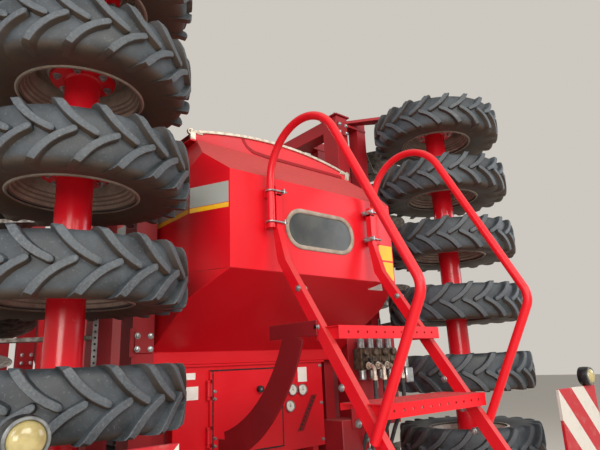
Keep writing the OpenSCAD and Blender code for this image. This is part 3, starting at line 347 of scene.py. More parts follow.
# from tyre to tyre; the wing's hinge; height of the front roller's axle; the road axle
pitch_x, hinge_x, hinge_z, roll_z, road_y, road_z = 375.0, 705.0, 895.0, 490.0, 1850.0, 390.0
wing_x = hinge_x + hinge_z - roll_z
first_wing_z = hinge_z + 2 * pitch_x - hinge_x + pitch_x / 2
wing_z = [first_wing_z + i * pitch_x for i in range(6)]
rollers = {
    # roller: body, nodes it stands for, frames of its tyres
    "left": ("roller_left", "tyres_left", [moved(-wing_x, 0, z, "Y", 90) for z in wing_z]),
    "right": ("roller_right", "tyres_right", [moved(wing_x, 0, z, "Y", -90) for z in wing_z]),
    "center": ("roller_center", "tyres_center", [moved((i - 1.5) * pitch_x, 0, roll_z) for i in range(4)]),
    "road_left": ("wheels_left", "tyres_rear_left", [moved(-(i + 0.5) * pitch_x, road_y, road_z) for i in (0, 1)]),
    "road_right": ("wheels_right", "tyres_rear_right", [moved((i + 0.5) * pitch_x, road_y, road_z) for i in (0, 1)]),
}
for key, (body, node, places) in rollers.items():
    turned_tyres = [copies(part, [m @ moved(axis="X", degrees=7.0 * (i % 3)) for i, m in enumerate(places)])
                    for part in tyre_parts]
    wear = np.concatenate([np.full(len(tyre_parts[0][0]) * len(places), 0.3),
                           np.tile(bar_wear, 2 * lugs * len(places))]).astype(np.float32)
    piece = put("bar_tread_tyres_" + key, turned_tyres, rubber, body, sharp=32, worn=wear)
    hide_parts(node)


# Roller tubes: red steel tubes that pass through all tyres of a row. A flange is welded on behind
# each rim, and six wheel nuts with washers hold the rim's dish against it.
def red_enamel(name, tone, dusty=0.5, gloss=0.3):
    """Two-coat stove enamel on sheet steel: deep even red, glossy, fine orange peel every 3 mm,
    with pale dust where a face looks up, and a slightly faded tone in broad clouds."""
    dust = ("MAXIMUM", ("MULTIPLY", ("up", 0.2, 0.85, 0, dusty), ("speck", 0.25, 0.62, 0.55, 1)),
            ("speck", 0.6, 0.78, 0, 0.1))
    return finish(name, tone, {"cloud": (2.2, 4.0, 0.55), "speck": (55.0, 5.0, 0.7), "peel": (330.0, 2.0)},
                  [("#dc2531", ("cloud", 0.3, 0.7, 0, 0.2)), ("#8f625c", dust)],
                  ("ADD", ("cloud", 0.3, 0.7, gloss, gloss + 0.12), dust), ("peel", 0.06, 0.001),
                  {"Specular IOR Level": 0.38})


enamel = red_enamel("red_stove_enamel", "#d20f1e")
tube_enamel = red_enamel("roller_tube_enamel", "#d41323", dusty=0.2, gloss=0.17)
# frame red: the hopper's red enamel made darker as painted shade, for the shadow the frame lies in under the hopper and
# wings
shaded_frame_enamel = red_enamel("frame_enamel_painted_shade", "#7f0a14", dusty=0.2, gloss=0.44)
# darker red still: on the beam plates, the ladder brace, the valve plate and the slanted strip it is painted shade of
# the deep shadow they lie in
dark_red_and_shade_enamel = red_enamel("dark_red_enamel_and_painted_shade", "#740d15", dusty=0.3, gloss=0.46)


def galvanised(name, tone, dark, rough):
    """Zinc-plated steel: pale blue-grey metal with faint darker clouds, satin, a little dull."""
    return finish(name, tone, {"cloud": (40.0, 5.0)}, [(dark, ("cloud", 0.35, 0.7))],
                  ("cloud", 0.3, 0.7, rough, rough + 0.15), more={"Metallic": 0.85})


zinc = galvanised("zinc_plated_steel", "#b9bcbd", "#8a8d8c", 0.32)
# silver wheel paint over pressed steel: beige-grey from dry dust, browner where it looks down
silver_rim = finish("silver_rim_paint", "#a3968a", {"cloud": (14.0, 6.0, 0.65), "fine": (150.0, 3.0)}, [
    ("#cabfb2", ("cloud", 0.32, 0.68)), ("#7d6a58", ("fine", 0.5, 0.75, 0, 0.4)),
    ("#66574a", ("up", -0.6, -0.95, 0, 0.75))],
    ("cloud", 0.3, 0.7, 0.42, 0.7), ("fine", 0.15, 0.0008), {"Metallic": 0.1})

tube_r, flange_r, nut_circle = 60.5, 112.0, 90.0


def ring(x0, x1, r0, r1, cut=1.5, segments=64):
    """Turned ring between two radii, its four edges cut by 45 degrees."""
    return turned([(x0, r0 + cut), (x0, r1 - cut), (x0 + cut, r1), (x1 - cut, r1), (x1, r1 - cut), (x1, r0 + cut),
                   (x1 - cut, r0), (x0 + cut, r0)], segments)


def cap(x0, x1, r, cut=1.5, segments=32):
    """Turned disc or rod between x0 and x1, edges cut by 45 degrees, closed at both ends on its axis."""
    return turned([(x0, 0.01), (x0, r - cut), (x0 + cut, r), (x1 - cut, r), (x1, r - cut), (x1, 0.01)], segments)


def hexagon(size, levels):
    """Six-sided head along X: levels give x and the share of its size there, size half the width over corners."""
    a = np.arange(6) * np.pi / 3
    flat = np.stack([0 * a, np.cos(a), np.sin(a)], -1) * size
    points = np.concatenate([flat * (1, f, f) + (x, 0, 0) for x, f in levels])
    return points, lattice(3, 6, close_columns=True), np.arange(12, 18)[None]


def wheel_nut(size=12.0, high=9.0):
    """Six-sided nut on a round washer with the stud's end standing out, along X from its seat."""
    return [hexagon(size, [(2, 1.0), (high + 0.5, 1.0), (high + 2, 0.86)]), cap(0, 2.2, size * 1.3, 0.6, 20),
            cap(high - 1, high + 7, size * 0.5, 0.8, 12)]


def roller_steel(first, count, out, stub):
    """Tube along X with stub shafts, and a flange behind each rim's dish."""
    last = first + (count - 1) * pitch_x
    tube = turned([(first - out - stub, 0.01), (first - out - stub, 23), (first - out - stub + 2, 25),
                   (first - out, 25), (first - out, tube_r - 2), (first - out + 2, tube_r),
                   (last + out - 2, tube_r), (last + out, tube_r - 2), (last + out, 25),
                   (last + out + stub - 2, 25), (last + out + stub, 23), (last + out + stub, 0.01)], 64)
    flanges = copies(ring(-12, 0, tube_r - 3, flange_r), [moved(first + i * pitch_x) for i in range(count)])
    seams = copies(turned([(-12, tube_r), (-12, tube_r + 7), (-15, tube_r + 5), (-19, tube_r + 1), (-20, tube_r)], 64),
                   [moved(first + i * pitch_x) for i in range(count)])
    return [tube, flanges, seams]


def pressed_rim():
    """Drop-centre rim, a well between two bead seats, with its dish pressed in steps; 7 mm sheet."""
    line = np.array([(-80, 213), (-76, 218), (-70, 217), (-67, 206), (-54, 205), (-50, 197), (-40, 196), (-36, 188),
                     (-26, 187), (-22, 179), (-6, 178), (8, 181), (26, 183), (30, 190), (42, 192), (46, 199), (56, 201),
                     (60, 205), (68, 206), (70, 218), (76, 220), (80, 214)], float)
    well = turned(np.concatenate([line, line[::-1] - (0, 7)]), 64)
    dish = np.array([(0, 54), (0, 114), (10, 120), (13, 126), (10, 132), (12, 140), (20, 145), (22, 151), (20, 157),
                     (24, 164), (30, 168), (30, 174), (22, 184)], float)
    return [well, turned(np.concatenate([dish, dish[::-1] + (6, 1)]), 64)]


rim_parts = pressed_rim()
nuts = [copies(part, [moved(axis="X", degrees=60 * i + 30) @ moved(0, -nut_circle, 0) for i in range(6)])
        for part in wheel_nut()]
rows = {
    # row: body, node it stands for, first tyre, tyres, frame of the tube
    "left": ("roller_left", "axle_left", first_wing_z, 6, moved(-wing_x, 0, 0, "Y", -90)),
    "right": ("roller_right", "axle_right", first_wing_z, 6, moved(wing_x, 0, 0, "Y", -90)),
    "center": ("roller_center", "axle_center", -1.5 * pitch_x, 4, moved(0, 0, roll_z)),
}


def rims_and_nuts(before, key, spots, body):
    """The rims of a row at their spots, and their nuts on the dish's other side."""
    rims = put(before + "rims_" + key, [copies(p, spots) for p in rim_parts], silver_rim, body)
    behind = [s @ moved(-12, 0, 0, "Z", 180) for s in spots]
    put(before + "wheel_nuts_" + key, [copies(p, behind) for p in nuts], zinc, body)
    return rims


for key, (body, node, first, count, place) in rows.items():
    spots = [place @ moved(first + i * pitch_x) for i in range(count)]
    tube = put("roller_tube_" + key, [copies(p, [place]) for p in roller_steel(first, count, tyre_half + 12, 60)],
               tube_enamel, body)
    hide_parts(node)
    rims_and_nuts("", key, spots, body)
for key, side in sides:
    turn, body = 0 if side > 0 else 180, "wheels_" + key
    hub = [cap(60, 1.5 * pitch_x + 40, 30, 2, 48),
           copies(ring(-12, 0, 28, flange_r), [moved((i + 0.5) * pitch_x) for i in (0, 1)])]
    put("hub_shaft_" + key, [at(p, 0, road_y, road_z, "Z", turn) for p in hub], enamel, body)
    spots = [moved(side * (i + 0.5) * pitch_x, road_y, road_z, "Z", turn) for i in (0, 1)]
    rims = rims_and_nuts("road_", key, spots, body)
    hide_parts("rims_rear_" + key)


# Steel structure: box sections, folded sheet and flame-cut plate, welded and enamelled. Each CAD solid
# is shown with the small round that folding and grinding leave along its edges.
def eased(node, name, coat, width=2.0):
    """The CAD solid with its flat faces joined up and every edge over 35 degrees rounded by width mm."""
    shell = bmesh.new()
    shell.from_mesh(frame["nodes"][node].data)
    bmesh.ops.remove_doubles(shell, verts=shell.verts, dist=2e-5)
    bmesh.ops.dissolve_limit(shell, angle_limit=math.radians(0.5), verts=shell.verts, edges=shell.edges)
    crisp = [e for e in shell.edges if len(e.link_faces) == 2 and e.calc_face_angle() > math.radians(35)]
    if width:
        bmesh.ops.bevel(shell, geom=crisp, offset=width / 1000, segments=1 if width < 2 else 2, profile=0.5,
                        affect="EDGES", clamp_overlap=True)
    mesh = bpy.data.meshes.new(name)
    shell.to_mesh(mesh)
    shell.free()
    piece = dressed(name, mesh, coat, 50)
    piece.modifiers.new("even_shading", "WEIGHTED_NORMAL").keep_sharp = True
    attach(piece, frame["nodes"][node]["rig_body"])
    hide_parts(node)
    return piece


def blackened(name, tone, rough, worn="#3a3b3c"):
    """Semi-gloss black paint or rubber: near black, greyed in fine specks where it is rubbed."""
    return finish(name, tone, {"speck": (60.0, 5.0)}, [(worn, ("speck", 0.5, 0.75))],
                  ("speck", 0.3, 0.7, rough, rough + 0.2))


black_paint = blackened("semi_gloss_black_paint", "#141517", 0.3)
cast_grey = galvanised("grey_cast_aluminium", "#8d9090", "#6c6f6f", 0.5)
ground_steel = galvanised("ground_disc_steel", "#7d7872", "#54483f", 0.42)
chrome = galvanised("hard_chrome", "#d9dcde", "#c8ccce", 0.08)
cream_zinc = galvanised("weathered_zinc_strap", "#dcd5c8", "#b5ab9b", 0.5)
both = ("left", "right")
# frame parts, wing frames and tool bars take the darker frame red, which is painted shade
structure = [
    # node, piece, finish, slot, round of its edges
    ("main_frame", "welded_main_frame", shaded_frame_enamel, "red_enamel", 4.0),
    ("hopper_posts", "hopper_post_tubes", shaded_frame_enamel, "red_enamel", 3.0),
    ("wing_pivots", "wing_pivot_plates", shaded_frame_enamel, "red_enamel", 2.5),
    ("axle_supports", "axle_support_plates", shaded_frame_enamel, "red_enamel", 2.5),
    ("cylinder_brackets", "cylinder_bracket_plates", shaded_frame_enamel, "red_enamel", 2.0),
    ("drawbar", "drawbar_box_section", enamel, "red_enamel", 4.0),
    ("hitch_head", "hitch_head_casting", enamel, "red_enamel", 4.0),
    ("jack_tube", "jack_outer_tube", enamel, "red_enamel", 2.0),
    ("jack_leg", "jack_inner_leg", zinc, "zinc_steel", 2.0),
    ("hopper_lower", "hopper_lower_sheets", enamel, "red_enamel", 4.0),
    ("hopper_upper", "hopper_upper_sheets", enamel, "red_enamel", 4.0),
    ("hopper_funnel", "hopper_funnel_sheets", enamel, "red_enamel", 3.0),
    ("metering_unit", "metering_housing", cast_grey, "grey_cast", 4.0),
    ("fan_housing", "fan_scroll", black_paint, "black_steel", 2.0),
    ("fan_guard", "fan_inlet_guard", black_paint, "black_steel", 0),
    ("fan_rotor", "fan_wheel", cast_grey, "grey_cast", 0.6),
    ("control_cabinet", "cabinet_sheets", enamel, "red_enamel", 2.0),
    ("cabinet_door", "cabinet_door_sheet", enamel, "red_enamel", 2.5),
    # the ladder brace's dark red is painted shade
    ("ladder_brace", "ladder_brace_plate", dark_red_and_shade_enamel, "dark_red_enamel", 1.5),
    *[("wing_frame_" + k, f"wing_frame_{k}_tubes", shaded_frame_enamel, "red_enamel", 4.0) for k in both],
    *[("disc_gang_" + k, f"disc_gang_{k}_steel", ground_steel, "disc_steel", 1.5) for k in ("center", *both)],
    *[("coulters_" + k, "coulter_row_" + k, ground_steel, "disc_steel", 0) for k in ("center", *both)],
    *[("cylinder_" + k, "fold_cylinder_" + k, black_paint, "black_steel", 2.0) for k in both],
    *[("rod_" + k, "fold_rod_" + k, chrome, "rod_chrome", 1.5) for k in both],
    ("seed_tower", "seed_distributor_towers", black_paint, "grey_plastic", 1.5),
    ("cover_bows", "cover_bow_straps", cream_zinc, "zinc_steel", 1.0),
    ("rear_lamps", "rear_lamp_housings", dark_red_and_shade_enamel, "lamp_red", 3.0),
]
shown = {node: eased(node, name, coat, width) for node, name, coat, slot, width in structure}


def repaint(piece, coat, chosen):
    """Second coat on the faces whose middles, in drawn millimetres, the test picks."""
    mesh = piece.data
    middles = np.empty(3 * len(mesh.polygons))
    mesh.polygons.foreach_get("center", middles)
    x, y, z = (middles.reshape(-1, 3) * 1000 + (0, 500, 0)).T
    mesh.materials.append(coat)
    index = np.empty(len(mesh.polygons), np.int32)
    mesh.polygons.foreach_get("material_index", index)
    index[chosen(x, y, z)] = len(mesh.materials) - 1
    mesh.polygons.foreach_set("material_index", index)


# rows of tools along Y, height of their axles, and a radius just outside them
disc_rows, coulter_rows, press_rows = ((700, 1100), 340, 233), ((2700, 2980), 276, 173), ((3030, 3310), 266, 163)
press_hub_r, tool_bar_z = 112, 752
press_rubber = blackened("press_wheel_rubber", "#26282a", 0.55, "#4a4a48")
arm_paint = blackened("coulter_arm_paint", "#2a1d1d", 0.35, "#5a3a38")
for key, away in (("center", False), ("left", True), ("right", True)):
    # height over the ground as the tools work: on a wing it is measured along X from the hinge
    height = lambda x, z, away=away: hinge_x - np.abs(x) + hinge_z if away else z
    near = lambda y, h, rows, axis, r: np.min([np.hypot(y - row, h - axis) for row in rows], axis=0) < r
    gang, row = shown["disc_gang_" + key], shown["coulters_" + key]
    # the gangs' bars take the darker frame red: painted shade
    repaint(gang, shaded_frame_enamel, lambda x, y, z: ~near(y, height(x, z), *disc_rows))
    repaint(row, arm_paint, lambda x, y, z: ~near(y, height(x, z), *coulter_rows))
    repaint(row, shaded_frame_enamel, lambda x, y, z: height(x, z) > tool_bar_z)
    repaint(row, press_rubber, lambda x, y, z: near(y, height(x, z), *press_rows)
            & ~near(y, height(x, z), *press_rows[:2], press_hub_r))


def prism(outline, low, high, cut=1.0):
    """Plate of any outline in X and Z, from low to high along Y. Its rims are cut by 45 degrees: a corner
    moves in by cut times (n1 + n2) / (1 + n1 . n2), n1 and n2 the normals beside it."""
    flat = np.asarray(outline, float)
    before, after = flat - np.roll(flat, 1, 0), np.roll(flat, -1, 0) - flat
    turn = np.sign(np.sum(flat[:, 0] * np.roll(flat[:, 1], -1) - np.roll(flat[:, 0], -1) * flat[:, 1]))
    n1, n2 = (unit(np.stack([-e[:, 1], e[:, 0]], -1)) * turn for e in (before, after))
    small = flat + cut * (n1 + n2) / (1 + np.sum(n1 * n2, 1))[:, None]
    levels = [(small, low), (flat, low + cut), (flat, high - cut), (small, high)]
    points = np.concatenate([np.insert(line, 1, depth, axis=1) for line, depth in levels])
    return skin(points, 4, len(flat))


def bent(corners, radii, step=8.0):
    """Path through corners in space, each rounded by an arc of its radius, a point every step degrees.
    A corner that doesn't turn is kept as it is."""
    corners = np.asarray(corners, float)
    path = [corners[0]]
    for i in range(1, len(corners) - 1):
        a, b = unit(corners[i - 1] - corners[i]), unit(corners[i + 1] - corners[i])
        half = math.acos(np.clip(a @ b, -1, 1)) / 2
        if math.pi - 2 * half < 1e-3:
            path.append(corners[i])
            continue
        middle = corners[i] + radii[i] / math.sin(half) * unit(a + b)
        sweep = math.pi - 2 * half
        first = corners[i] + a * radii[i] / math.tan(half) - middle
        last = corners[i] + b * radii[i] / math.tan(half) - middle
        for t in np.linspace(0, 1, max(2, int(math.degrees(sweep) / step) + 2)):
            path.append(middle + (math.sin((1 - t) * sweep) * first + math.sin(t * sweep) * last) / math.sin(sweep))
    return np.array(path + [corners[-1]])


def along(path, profile, up=(0, 0, 1)):
    """Profile of (side, lift) carried along a path: each ring lies in the plane that halves its corner."""
    path, profile = np.asarray(path, float), np.asarray(profile, float)
    leg = unit(np.diff(path, axis=0))
    into, out = np.concatenate([leg[:1], leg]), np.concatenate([leg, leg[-1:]])
    normal = unit(into + out)
    side = unit(np.cross(into, up))
    lift = np.cross(side, into)
    off = side[:, None] * profile[None, :, :1] + lift[:, None] * profile[None, :, 1:]
    slide = np.einsum("ijk,ik->ij", off, normal) / np.einsum("ik,ik->i", into, normal)[:, None]
    return skin(path[:, None] + off - into[:, None] * slide[..., None], len(path), len(profile))


def circle(d, sides=24):
    """Points of a circle of diameter d."""
    a = np.arange(sides) * 2 * np.pi / sides
    return np.stack([np.cos(a), np.sin(a)], -1) * d / 2


def bar(corner, opposite, cut=1.5):
    """Box with all its edges cut by 45 degrees: a prism whose ends are drawn in."""
    (x0, y0, z0), (x1, y1, z1) = np.sort([corner, opposite], axis=0)
    outline = [(x0 + cut, z0), (x1 - cut, z0), (x1, z0 + cut), (x1, z1 - cut), (x1 - cut, z1), (x0 + cut, z1),
               (x0, z1 - cut), (x0, z0 + cut)]
    return prism(outline, y0, y1, cut)


# Roller bearings: a cast housing with a cap is bolted on each bearing plate, outside the roller's end.
# On the wing beams, end plates and knuckle plates are bolted with zinc-plated bolts.
def bolt(size, high=8.0):
    """Hexagon bolt head on a washer, along X from its seat."""
    return [hexagon(size, [(2, 1.0), (1 + high, 1.0), (2 + high, 0.85)]), cap(0, 2.2, size * 1.35, 0.6, 18)]


def bolts(name, seats, size, body="frame"):
    """Bolt heads at (x, y, z, axis, degrees): the turn lays the bolt's X along the outward normal."""
    put(name, [copies(part, [moved(*seat) for seat in seats]) for part in bolt(size)], zinc, body)


housing_line = [(0, 27), (0, 62), (3, 65), (10, 65), (13, 60), (15, 50), (26, 46), (29, 42), (30, 0.01), (25, 0.01),
                (25, 27)]
bearing_out, bolt_circle = tyre_half + 42, 55
# a wing's beams: its two faces from the middle, its top, and the beams' places along Y
beam_x, beam_top, beam_y = (612, 718), 3182, (470, 2480)
for key, side in sides:
    housings, seats, plates = [], [], []
    for z, up in ((first_wing_z - bearing_out, -1), (first_wing_z + 5 * pitch_x + bearing_out, 1)):
        housings.append(at(turned(housing_line, 48), side * wing_x, 0, z + up * 10.2, "Y", -90 * up))
        for angle in np.radians((45, 135, 225, 315)):
            seats.append((side * wing_x + bolt_circle * math.cos(angle), bolt_circle * math.sin(angle),
                          z + up * 23, "Y", -90 * up))
    x0, x1 = sorted(side * x for x in beam_x)
    for y in beam_y:
        plates.append(bar((x0 - 12, y - 77, beam_top - 11.5), (x1 + 12, y + 77, beam_top), 2))
        seats += [(x, y + turn, beam_top, "Y", -90) for x in (x0 + 4, x1 - 4) for turn in (-58, 58)]
        for z in (1120, 1700, 2300, 3080):
            plates.append(bar((x0 - 9, y - 68, z - 60), (x0 + 20, y - 65.2, z + 60), 1))
            plates.append(bar((x0 + 12, y - 74, z - 45), (x1 - 12, y - 65.3, z + 45), 1.5))
            seats += [(side * sum(beam_x) / 2 + a, y - 74, z + b, "Z", -90) for a in (-30, 30) for b in (-28, 28)]
    put("bearing_housings_" + key, housings, arm_paint, "wing_" + key, sharp=45)
    # the plates' dark red is painted shade
    put("beam_plates_" + key, plates, dark_red_and_shade_enamel, "wing_" + key)
    bolts("beam_bolts_" + key, seats, 10.0, "wing_" + key)


# Hopper front: a silver band with a yellow line runs round the corner cut and along the side, and blank
# yellow and white film labels are stuck on the sheet. Film is 0.35 mm thick and lies on the enamel.
def film(name, tone, rough=0.35):
    """Printed vinyl film: one even colour, a slight sheen, faint dust in broad clouds."""
    return finish(name, tone, {"cloud": (12.0, 5.0)}, [("#9a938a", ("cloud", 0.45, 0.8, 0, 0.3))],
                  ("cloud", 0.3, 0.7, rough, rough + 0.2))


silver_film = film("silver_vinyl_band", "#9fa39f")
yellow_film = film("yellow_vinyl_film", "#f2b81e")
white_film = film("white_vinyl_film", "#eceae4")
hop_x, face_x, hop_y, cut_y, hop_len = 600.0, 510.0, -53.0, 186.0, 3006.0


def stuck(corners, out):
    """Film with the given corners on a flat face: from 0.05 to 0.4 mm out along the face's normal."""
    corners, out = np.asarray(corners, float), unit(np.asarray(out, float))
    return skin(np.concatenate([corners + out * 0.05, corners + out * 0.4]), 2, len(corners))


def upright(y, labels):
    """Films on a front face at y, each from x0 to x1 and from z0 to z1."""
    return [stuck([(a, y, c), (b, y, c), (b, y, d), (a, y, d)], (0, -1, 0)) for a, b, c, d in labels]


for name, coat, low, high in (("silver_band", silver_film, 2248, 2340), ("yellow_line", yellow_film, 2226, 2246)):
    parts = []
    for side in (-1, 1):
        corner_cut = ((side * (face_x + 3), hop_y + 6), (side * (hop_x - 2), hop_y + cut_y - 4))
        flank = ((side * hop_x, hop_y + cut_y + 4), (side * hop_x, hop_y + hop_len - cut_y - 4))
        for (a, b), out in ((corner_cut, (side * cut_y, face_x - hop_x, 0)), (flank, (side, 0, 0))):
            parts.append(stuck([(*a, low), (*b, low), (*b, high), (*a, high)], out))
    put(name, parts, coat)
put("yellow_front_labels", upright(hop_y, [(402, 503, 2088, 2166), (404, 503, 1984, 2078)]),
    yellow_film)
# the slope under the front face: it starts at slope_z and runs back slope_back for slope_fall down
slope_z, slope_back, slope_fall = 1970, 522.0, 310.0
slope = [(x, hop_y + (slope_z - z) * slope_back / slope_fall, z) for x, z in ((352, 1937), (470, 1937), (411, 1964))]
put("white_slope_label", [stuck(slope, (0, -slope_fall, -slope_back))], white_film)
cabinet_y, sheet_y = 480, 479.8
cabinet_labels = [(-424, -368, 1532, 1562), (-424, -352, 1440, 1500), (262, 326, 1488, 1566)]
put("cabinet_labels", upright(cabinet_y, cabinet_labels), white_film)


# Window: clear sheet, 175 mm high with round ends, held in a slotted rubber profile that grips the
# hopper's edge inside and out. Behind it the empty hopper is dark; the sheet is drawn opaque with that dark painted on
# it as painted shade.
def stadium(w, h, grow=0.0):
    """Outline with round ends: half circles joined by straight lines, in X and Z round its middle."""
    a = np.linspace(-np.pi / 2, np.pi / 2, 16)
    right_end = np.stack([np.cos(a), np.sin(a)], -1) * (h / 2 + grow) + ((w - h) / 2, 0)
    return np.concatenate([right_end, -right_end])


def seal_ring(w, h, y, line):
    """Ring with the stadium's form: line gives (grow, y) of each point of its section."""
    rings = [np.insert(stadium(w, h, g), 1, y + d, axis=1) for g, d in line]
    return np.concatenate(rings), lattice(len(rings), len(rings[0]), True, True)


# old glazing rubber: warm grey-brown, matt, chalky where the sun reaches
glazing = finish("weathered_glazing_rubber", "#8b7d6f", {"cloud": (30.0, 6.0)},
                 [("#a2968a", ("cloud", 0.35, 0.7))], 0.8)
# acrylic pane, drawn opaque: its dark grey-green is painted shade of the empty hopper behind it, with paler seed dust
# in clouds; smooth on the outside
pane_dust_and_painted_shade = finish("acrylic_pane_dust_and_painted_shade", "#34393a", {"cloud": (7.0, 6.0)}, [("#4c504c", ("cloud", 0.35, 0.7))], 0.2)


window_w, window_h, window_z = 420.0, 175.0, 2180.0
seal_line = [(-12, 6), (-12, -1), (-9, -5), (-2, -7), (6, -6), (9, -3), (9, 0), (-1, 0), (-1, 8), (6, 8), (6, 13),
             (-8, 13)]
seal = put("window_seal", [at(seal_ring(window_w, window_h, hop_y, seal_line), 0, 0, window_z)], glazing,
           sharp=50)
put("window_pane", [at(prism(stadium(window_w, window_h, -11), hop_y + 1, hop_y + 5, 0.5), 0, 0, window_z)],
    pane_dust_and_painted_shade)
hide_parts("hopper_window")


# Roll-up cover: coated red cloth drawn over the bows. It is fixed along one long side, and its front
# edge hangs down as a flap to the rim, with the hem's line curving up to the bow.
# PVC-coated cloth: bright red, a fine 1.5 mm weave under the coat, soft sheen, dust on top
weave = lambda tree, where: add(tree, "TexWave", {"Vector": where, "Scale": 210.0, "Distortion": 0.3})
cover_red = finish("coated_cover_cloth", "#d3202b", {"cloud": (3.0, 5.0)}, [
    ("#c2313a", ("cloud", 0.35, 0.7)),
    ("#a88a82", ("MULTIPLY", ("up", 0.3, 0.95, 0, 0.55), ("cloud", 0.3, 0.7, 0.6, 1)))],
    0.55, (weave, 0.12, 0.0004), {"Sheen Weight": 0.2})


rim_x, rim_y, rim_z, bow_z, bow_rise = 502.0, 303.0, 2640.0, 2680.0, 65.0
bow_x = rim_x + 18
bow_r = (bow_x ** 2 + bow_rise ** 2) / (2 * bow_rise)
cloth_y = (hop_y + rim_y + 12, hop_y + hop_len - rim_y - 12)


def bow_height(x):
    return bow_z + bow_rise - bow_r + np.sqrt(bow_r ** 2 - np.asarray(x) ** 2)


def cover_cloth():
    """Cloth on the bows: it sags between bows by 9 mm and hangs from the end bows as a flat flap."""
    across = np.linspace(-bow_x + 2, bow_x - 2, 41)
    length = np.linspace(cloth_y[0], cloth_y[1], 61)
    x, y = np.meshgrid(across, length)
    spans = 4 * (y - length[0]) / (length[-1] - length[0])
    sag = 9 * np.sin(np.pi * spans) ** 2 * np.cos(x / bow_x * np.pi / 2)
    ripple = 1.2 * np.sin(x / 61) * np.sin(y / 83)
    top = np.stack([x, y, bow_height(x) + 1.5 - sag + ripple], -1)
    drop = np.linspace(1, 0, 7)[:-1]
    flaps = [[np.stack([across * (1 - 0.03 * f), row[:, 1] - out * np.sin(f * np.pi),
                        row[:, 2] + (rim_z + 3 - row[:, 2]) * f], -1) for f in drop]
             for row, out in ((top[0], 4.0), (top[-1], -4.0))]
    rows = np.array(flaps[0] + list(top) + flaps[1][::-1])
    return skin(np.concatenate([rows, rows[:, ::-1] - (0, 0, 1.5)], 1), len(rows), 2 * len(across))


cloth = put("roll_cover_cloth", [cover_cloth()], cover_red, sharp=60)
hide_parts("hopper_cover")
# the flap's doubled hem runs down in a curve from the bow and along the rim: x, z, radius of the bend
hem = np.array([(-231, 2734, 0), (-224, 2706, 30), (-205, 2681, 40), (-163, 2662, 60), (-87, 2657, 90), (-8, 2656, 90),
                (169, 2656, 90), (362, 2656, 90), (478, 2654, 0)], float)
hems = []
for y, face in ((cloth_y[0], -1), (cloth_y[1], 1)):
    line = np.stack([hem[:, 0], np.full(len(hem), y + face * 2.5), hem[:, 1]], -1)
    hems.append(along(bent(line, hem[:, 2], 12), [(-8, -3), (8, -3), (9, 3), (-9, 3)], (0, 1, 0)))
hem_web = red_enamel("hem_webbing", "#7d0d15", dusty=0.1, gloss=0.6)
put("cover_flap_hem", hems, hem_web, sharp=60)
eyes = []
for y in cloth_y:
    for side in (-1, 1):
        eye = (side * 530, y, bow_z + 2, "Z", 90)
        eyes += [bar((side * 466, y - 9, bow_z - 6), (side * 528, y + 9, bow_z + 10), 2),
                 at(ring(-7, 7, 8, 16, 1.5, 24), *eye), at(cap(-12, 12, 5, 1, 16), *eye)]
put("bow_end_fittings", eyes, cream_zinc)


# Ladder: two flat-iron sides and three folded steps. The handrails are 34 mm tube, bent over the top in
# one wide sweep; two zinc-plated U-bolts clamp each to the ladder's side, and the lower end is bolted on.
eased("ladder", "ladder_sides_and_steps", enamel, 1.5)
ladder_x, iron, rail_d, rail_y, bolt_d = 300.0, 15.0, 34.0, -100.0, 8
rail_out = ladder_x + iron + rail_d / 2 + 0.3
leg_y = (rail_y - 21.5, rail_y + 21.5)
sweep = [(rail_y, 2147), (rail_y, 3227), (-845, 1797), (-600, 1330)]
rails, clamps, tops = [], [], []
for side in (-1, 1):
    path = bent([(side * rail_out, y, z) for y, z in sweep], [0, 215, 80, 0], 4)
    rails.append(along(path, circle(rail_d, 28), (1, 0, 0)))
    tops.append(bar((side * ladder_x - iron, rail_y - 16, 2290), (side * ladder_x + iron, rail_y + 16, 2336), 2))
    for z in (2172, 2311):
        inner, outer = side * (ladder_x - 38), side * (rail_out + 21.5)
        loop = bent([(inner, leg_y[0], z), (outer, leg_y[0], z), (outer, leg_y[1], z), (inner, leg_y[1], z)],
                    [0, 21, 21, 0], 10)
        plate, seat = side * (ladder_x - iron - 0.3), side * (ladder_x - 21)
        clamps += [along(loop, circle(bolt_d, 12)), bar((plate, rail_y - 34, z - 11), (seat, rail_y + 34, z + 11), 1)]
        for y in leg_y:
            clamps += [at(part, seat, y, z, "Z", 180 if side > 0 else 0) for part in wheel_nut(7.5, 6.5)[:2]]
        x, y = side * rail_out, rail_y + rail_d / 2
        tops.append(bar((x - 3, y - 1, z - 22), (x + 3, hop_y - 0.3, z + 22), 1))
put("ladder_side_tops", tops, enamel)
handrails = put("bent_handrails", rails, enamel, sharp=50)
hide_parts("handrails")
put("handrail_u_bolts", clamps, zinc)
# bolts hold the steps between the sides: y, z
side_bolts = [(-338, 1712), (-450, 1496), (-520, 1383), (-561, 1300), (-240, 1870)]
bolts("ladder_bolts", [(s * (ladder_x + iron * t), y, z, "Z", 0 if s * t > 0 else 180)
                       for s in (-1, 1) for t in (-1, 1) for y, z in side_bolts], 10.0)


# Control cabinet: three pressure gauges with zinc bezels and blank white dials, and a black knob.
# white enamel dial under a thin clear pane: even, with a sharp reflection on top
dial_white = finish("white_dial_under_glass", "#e6e6df", {"speck": (80.0, 3.0)},
                    [("#b7b3a8", ("speck", 0.45, 0.8, 0, 0.4))], 0.3, more={"Coat Weight": 1.0})


knob_x, knob_z, door_y = -10, 1468, 465.2
repaint(shown["cabinet_door"], black_paint, lambda x, y, z: (y < door_y) & (np.hypot(x - knob_x, z - knob_z) < 20))
door_body = frame["nodes"]["cabinet_door"]["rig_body"]
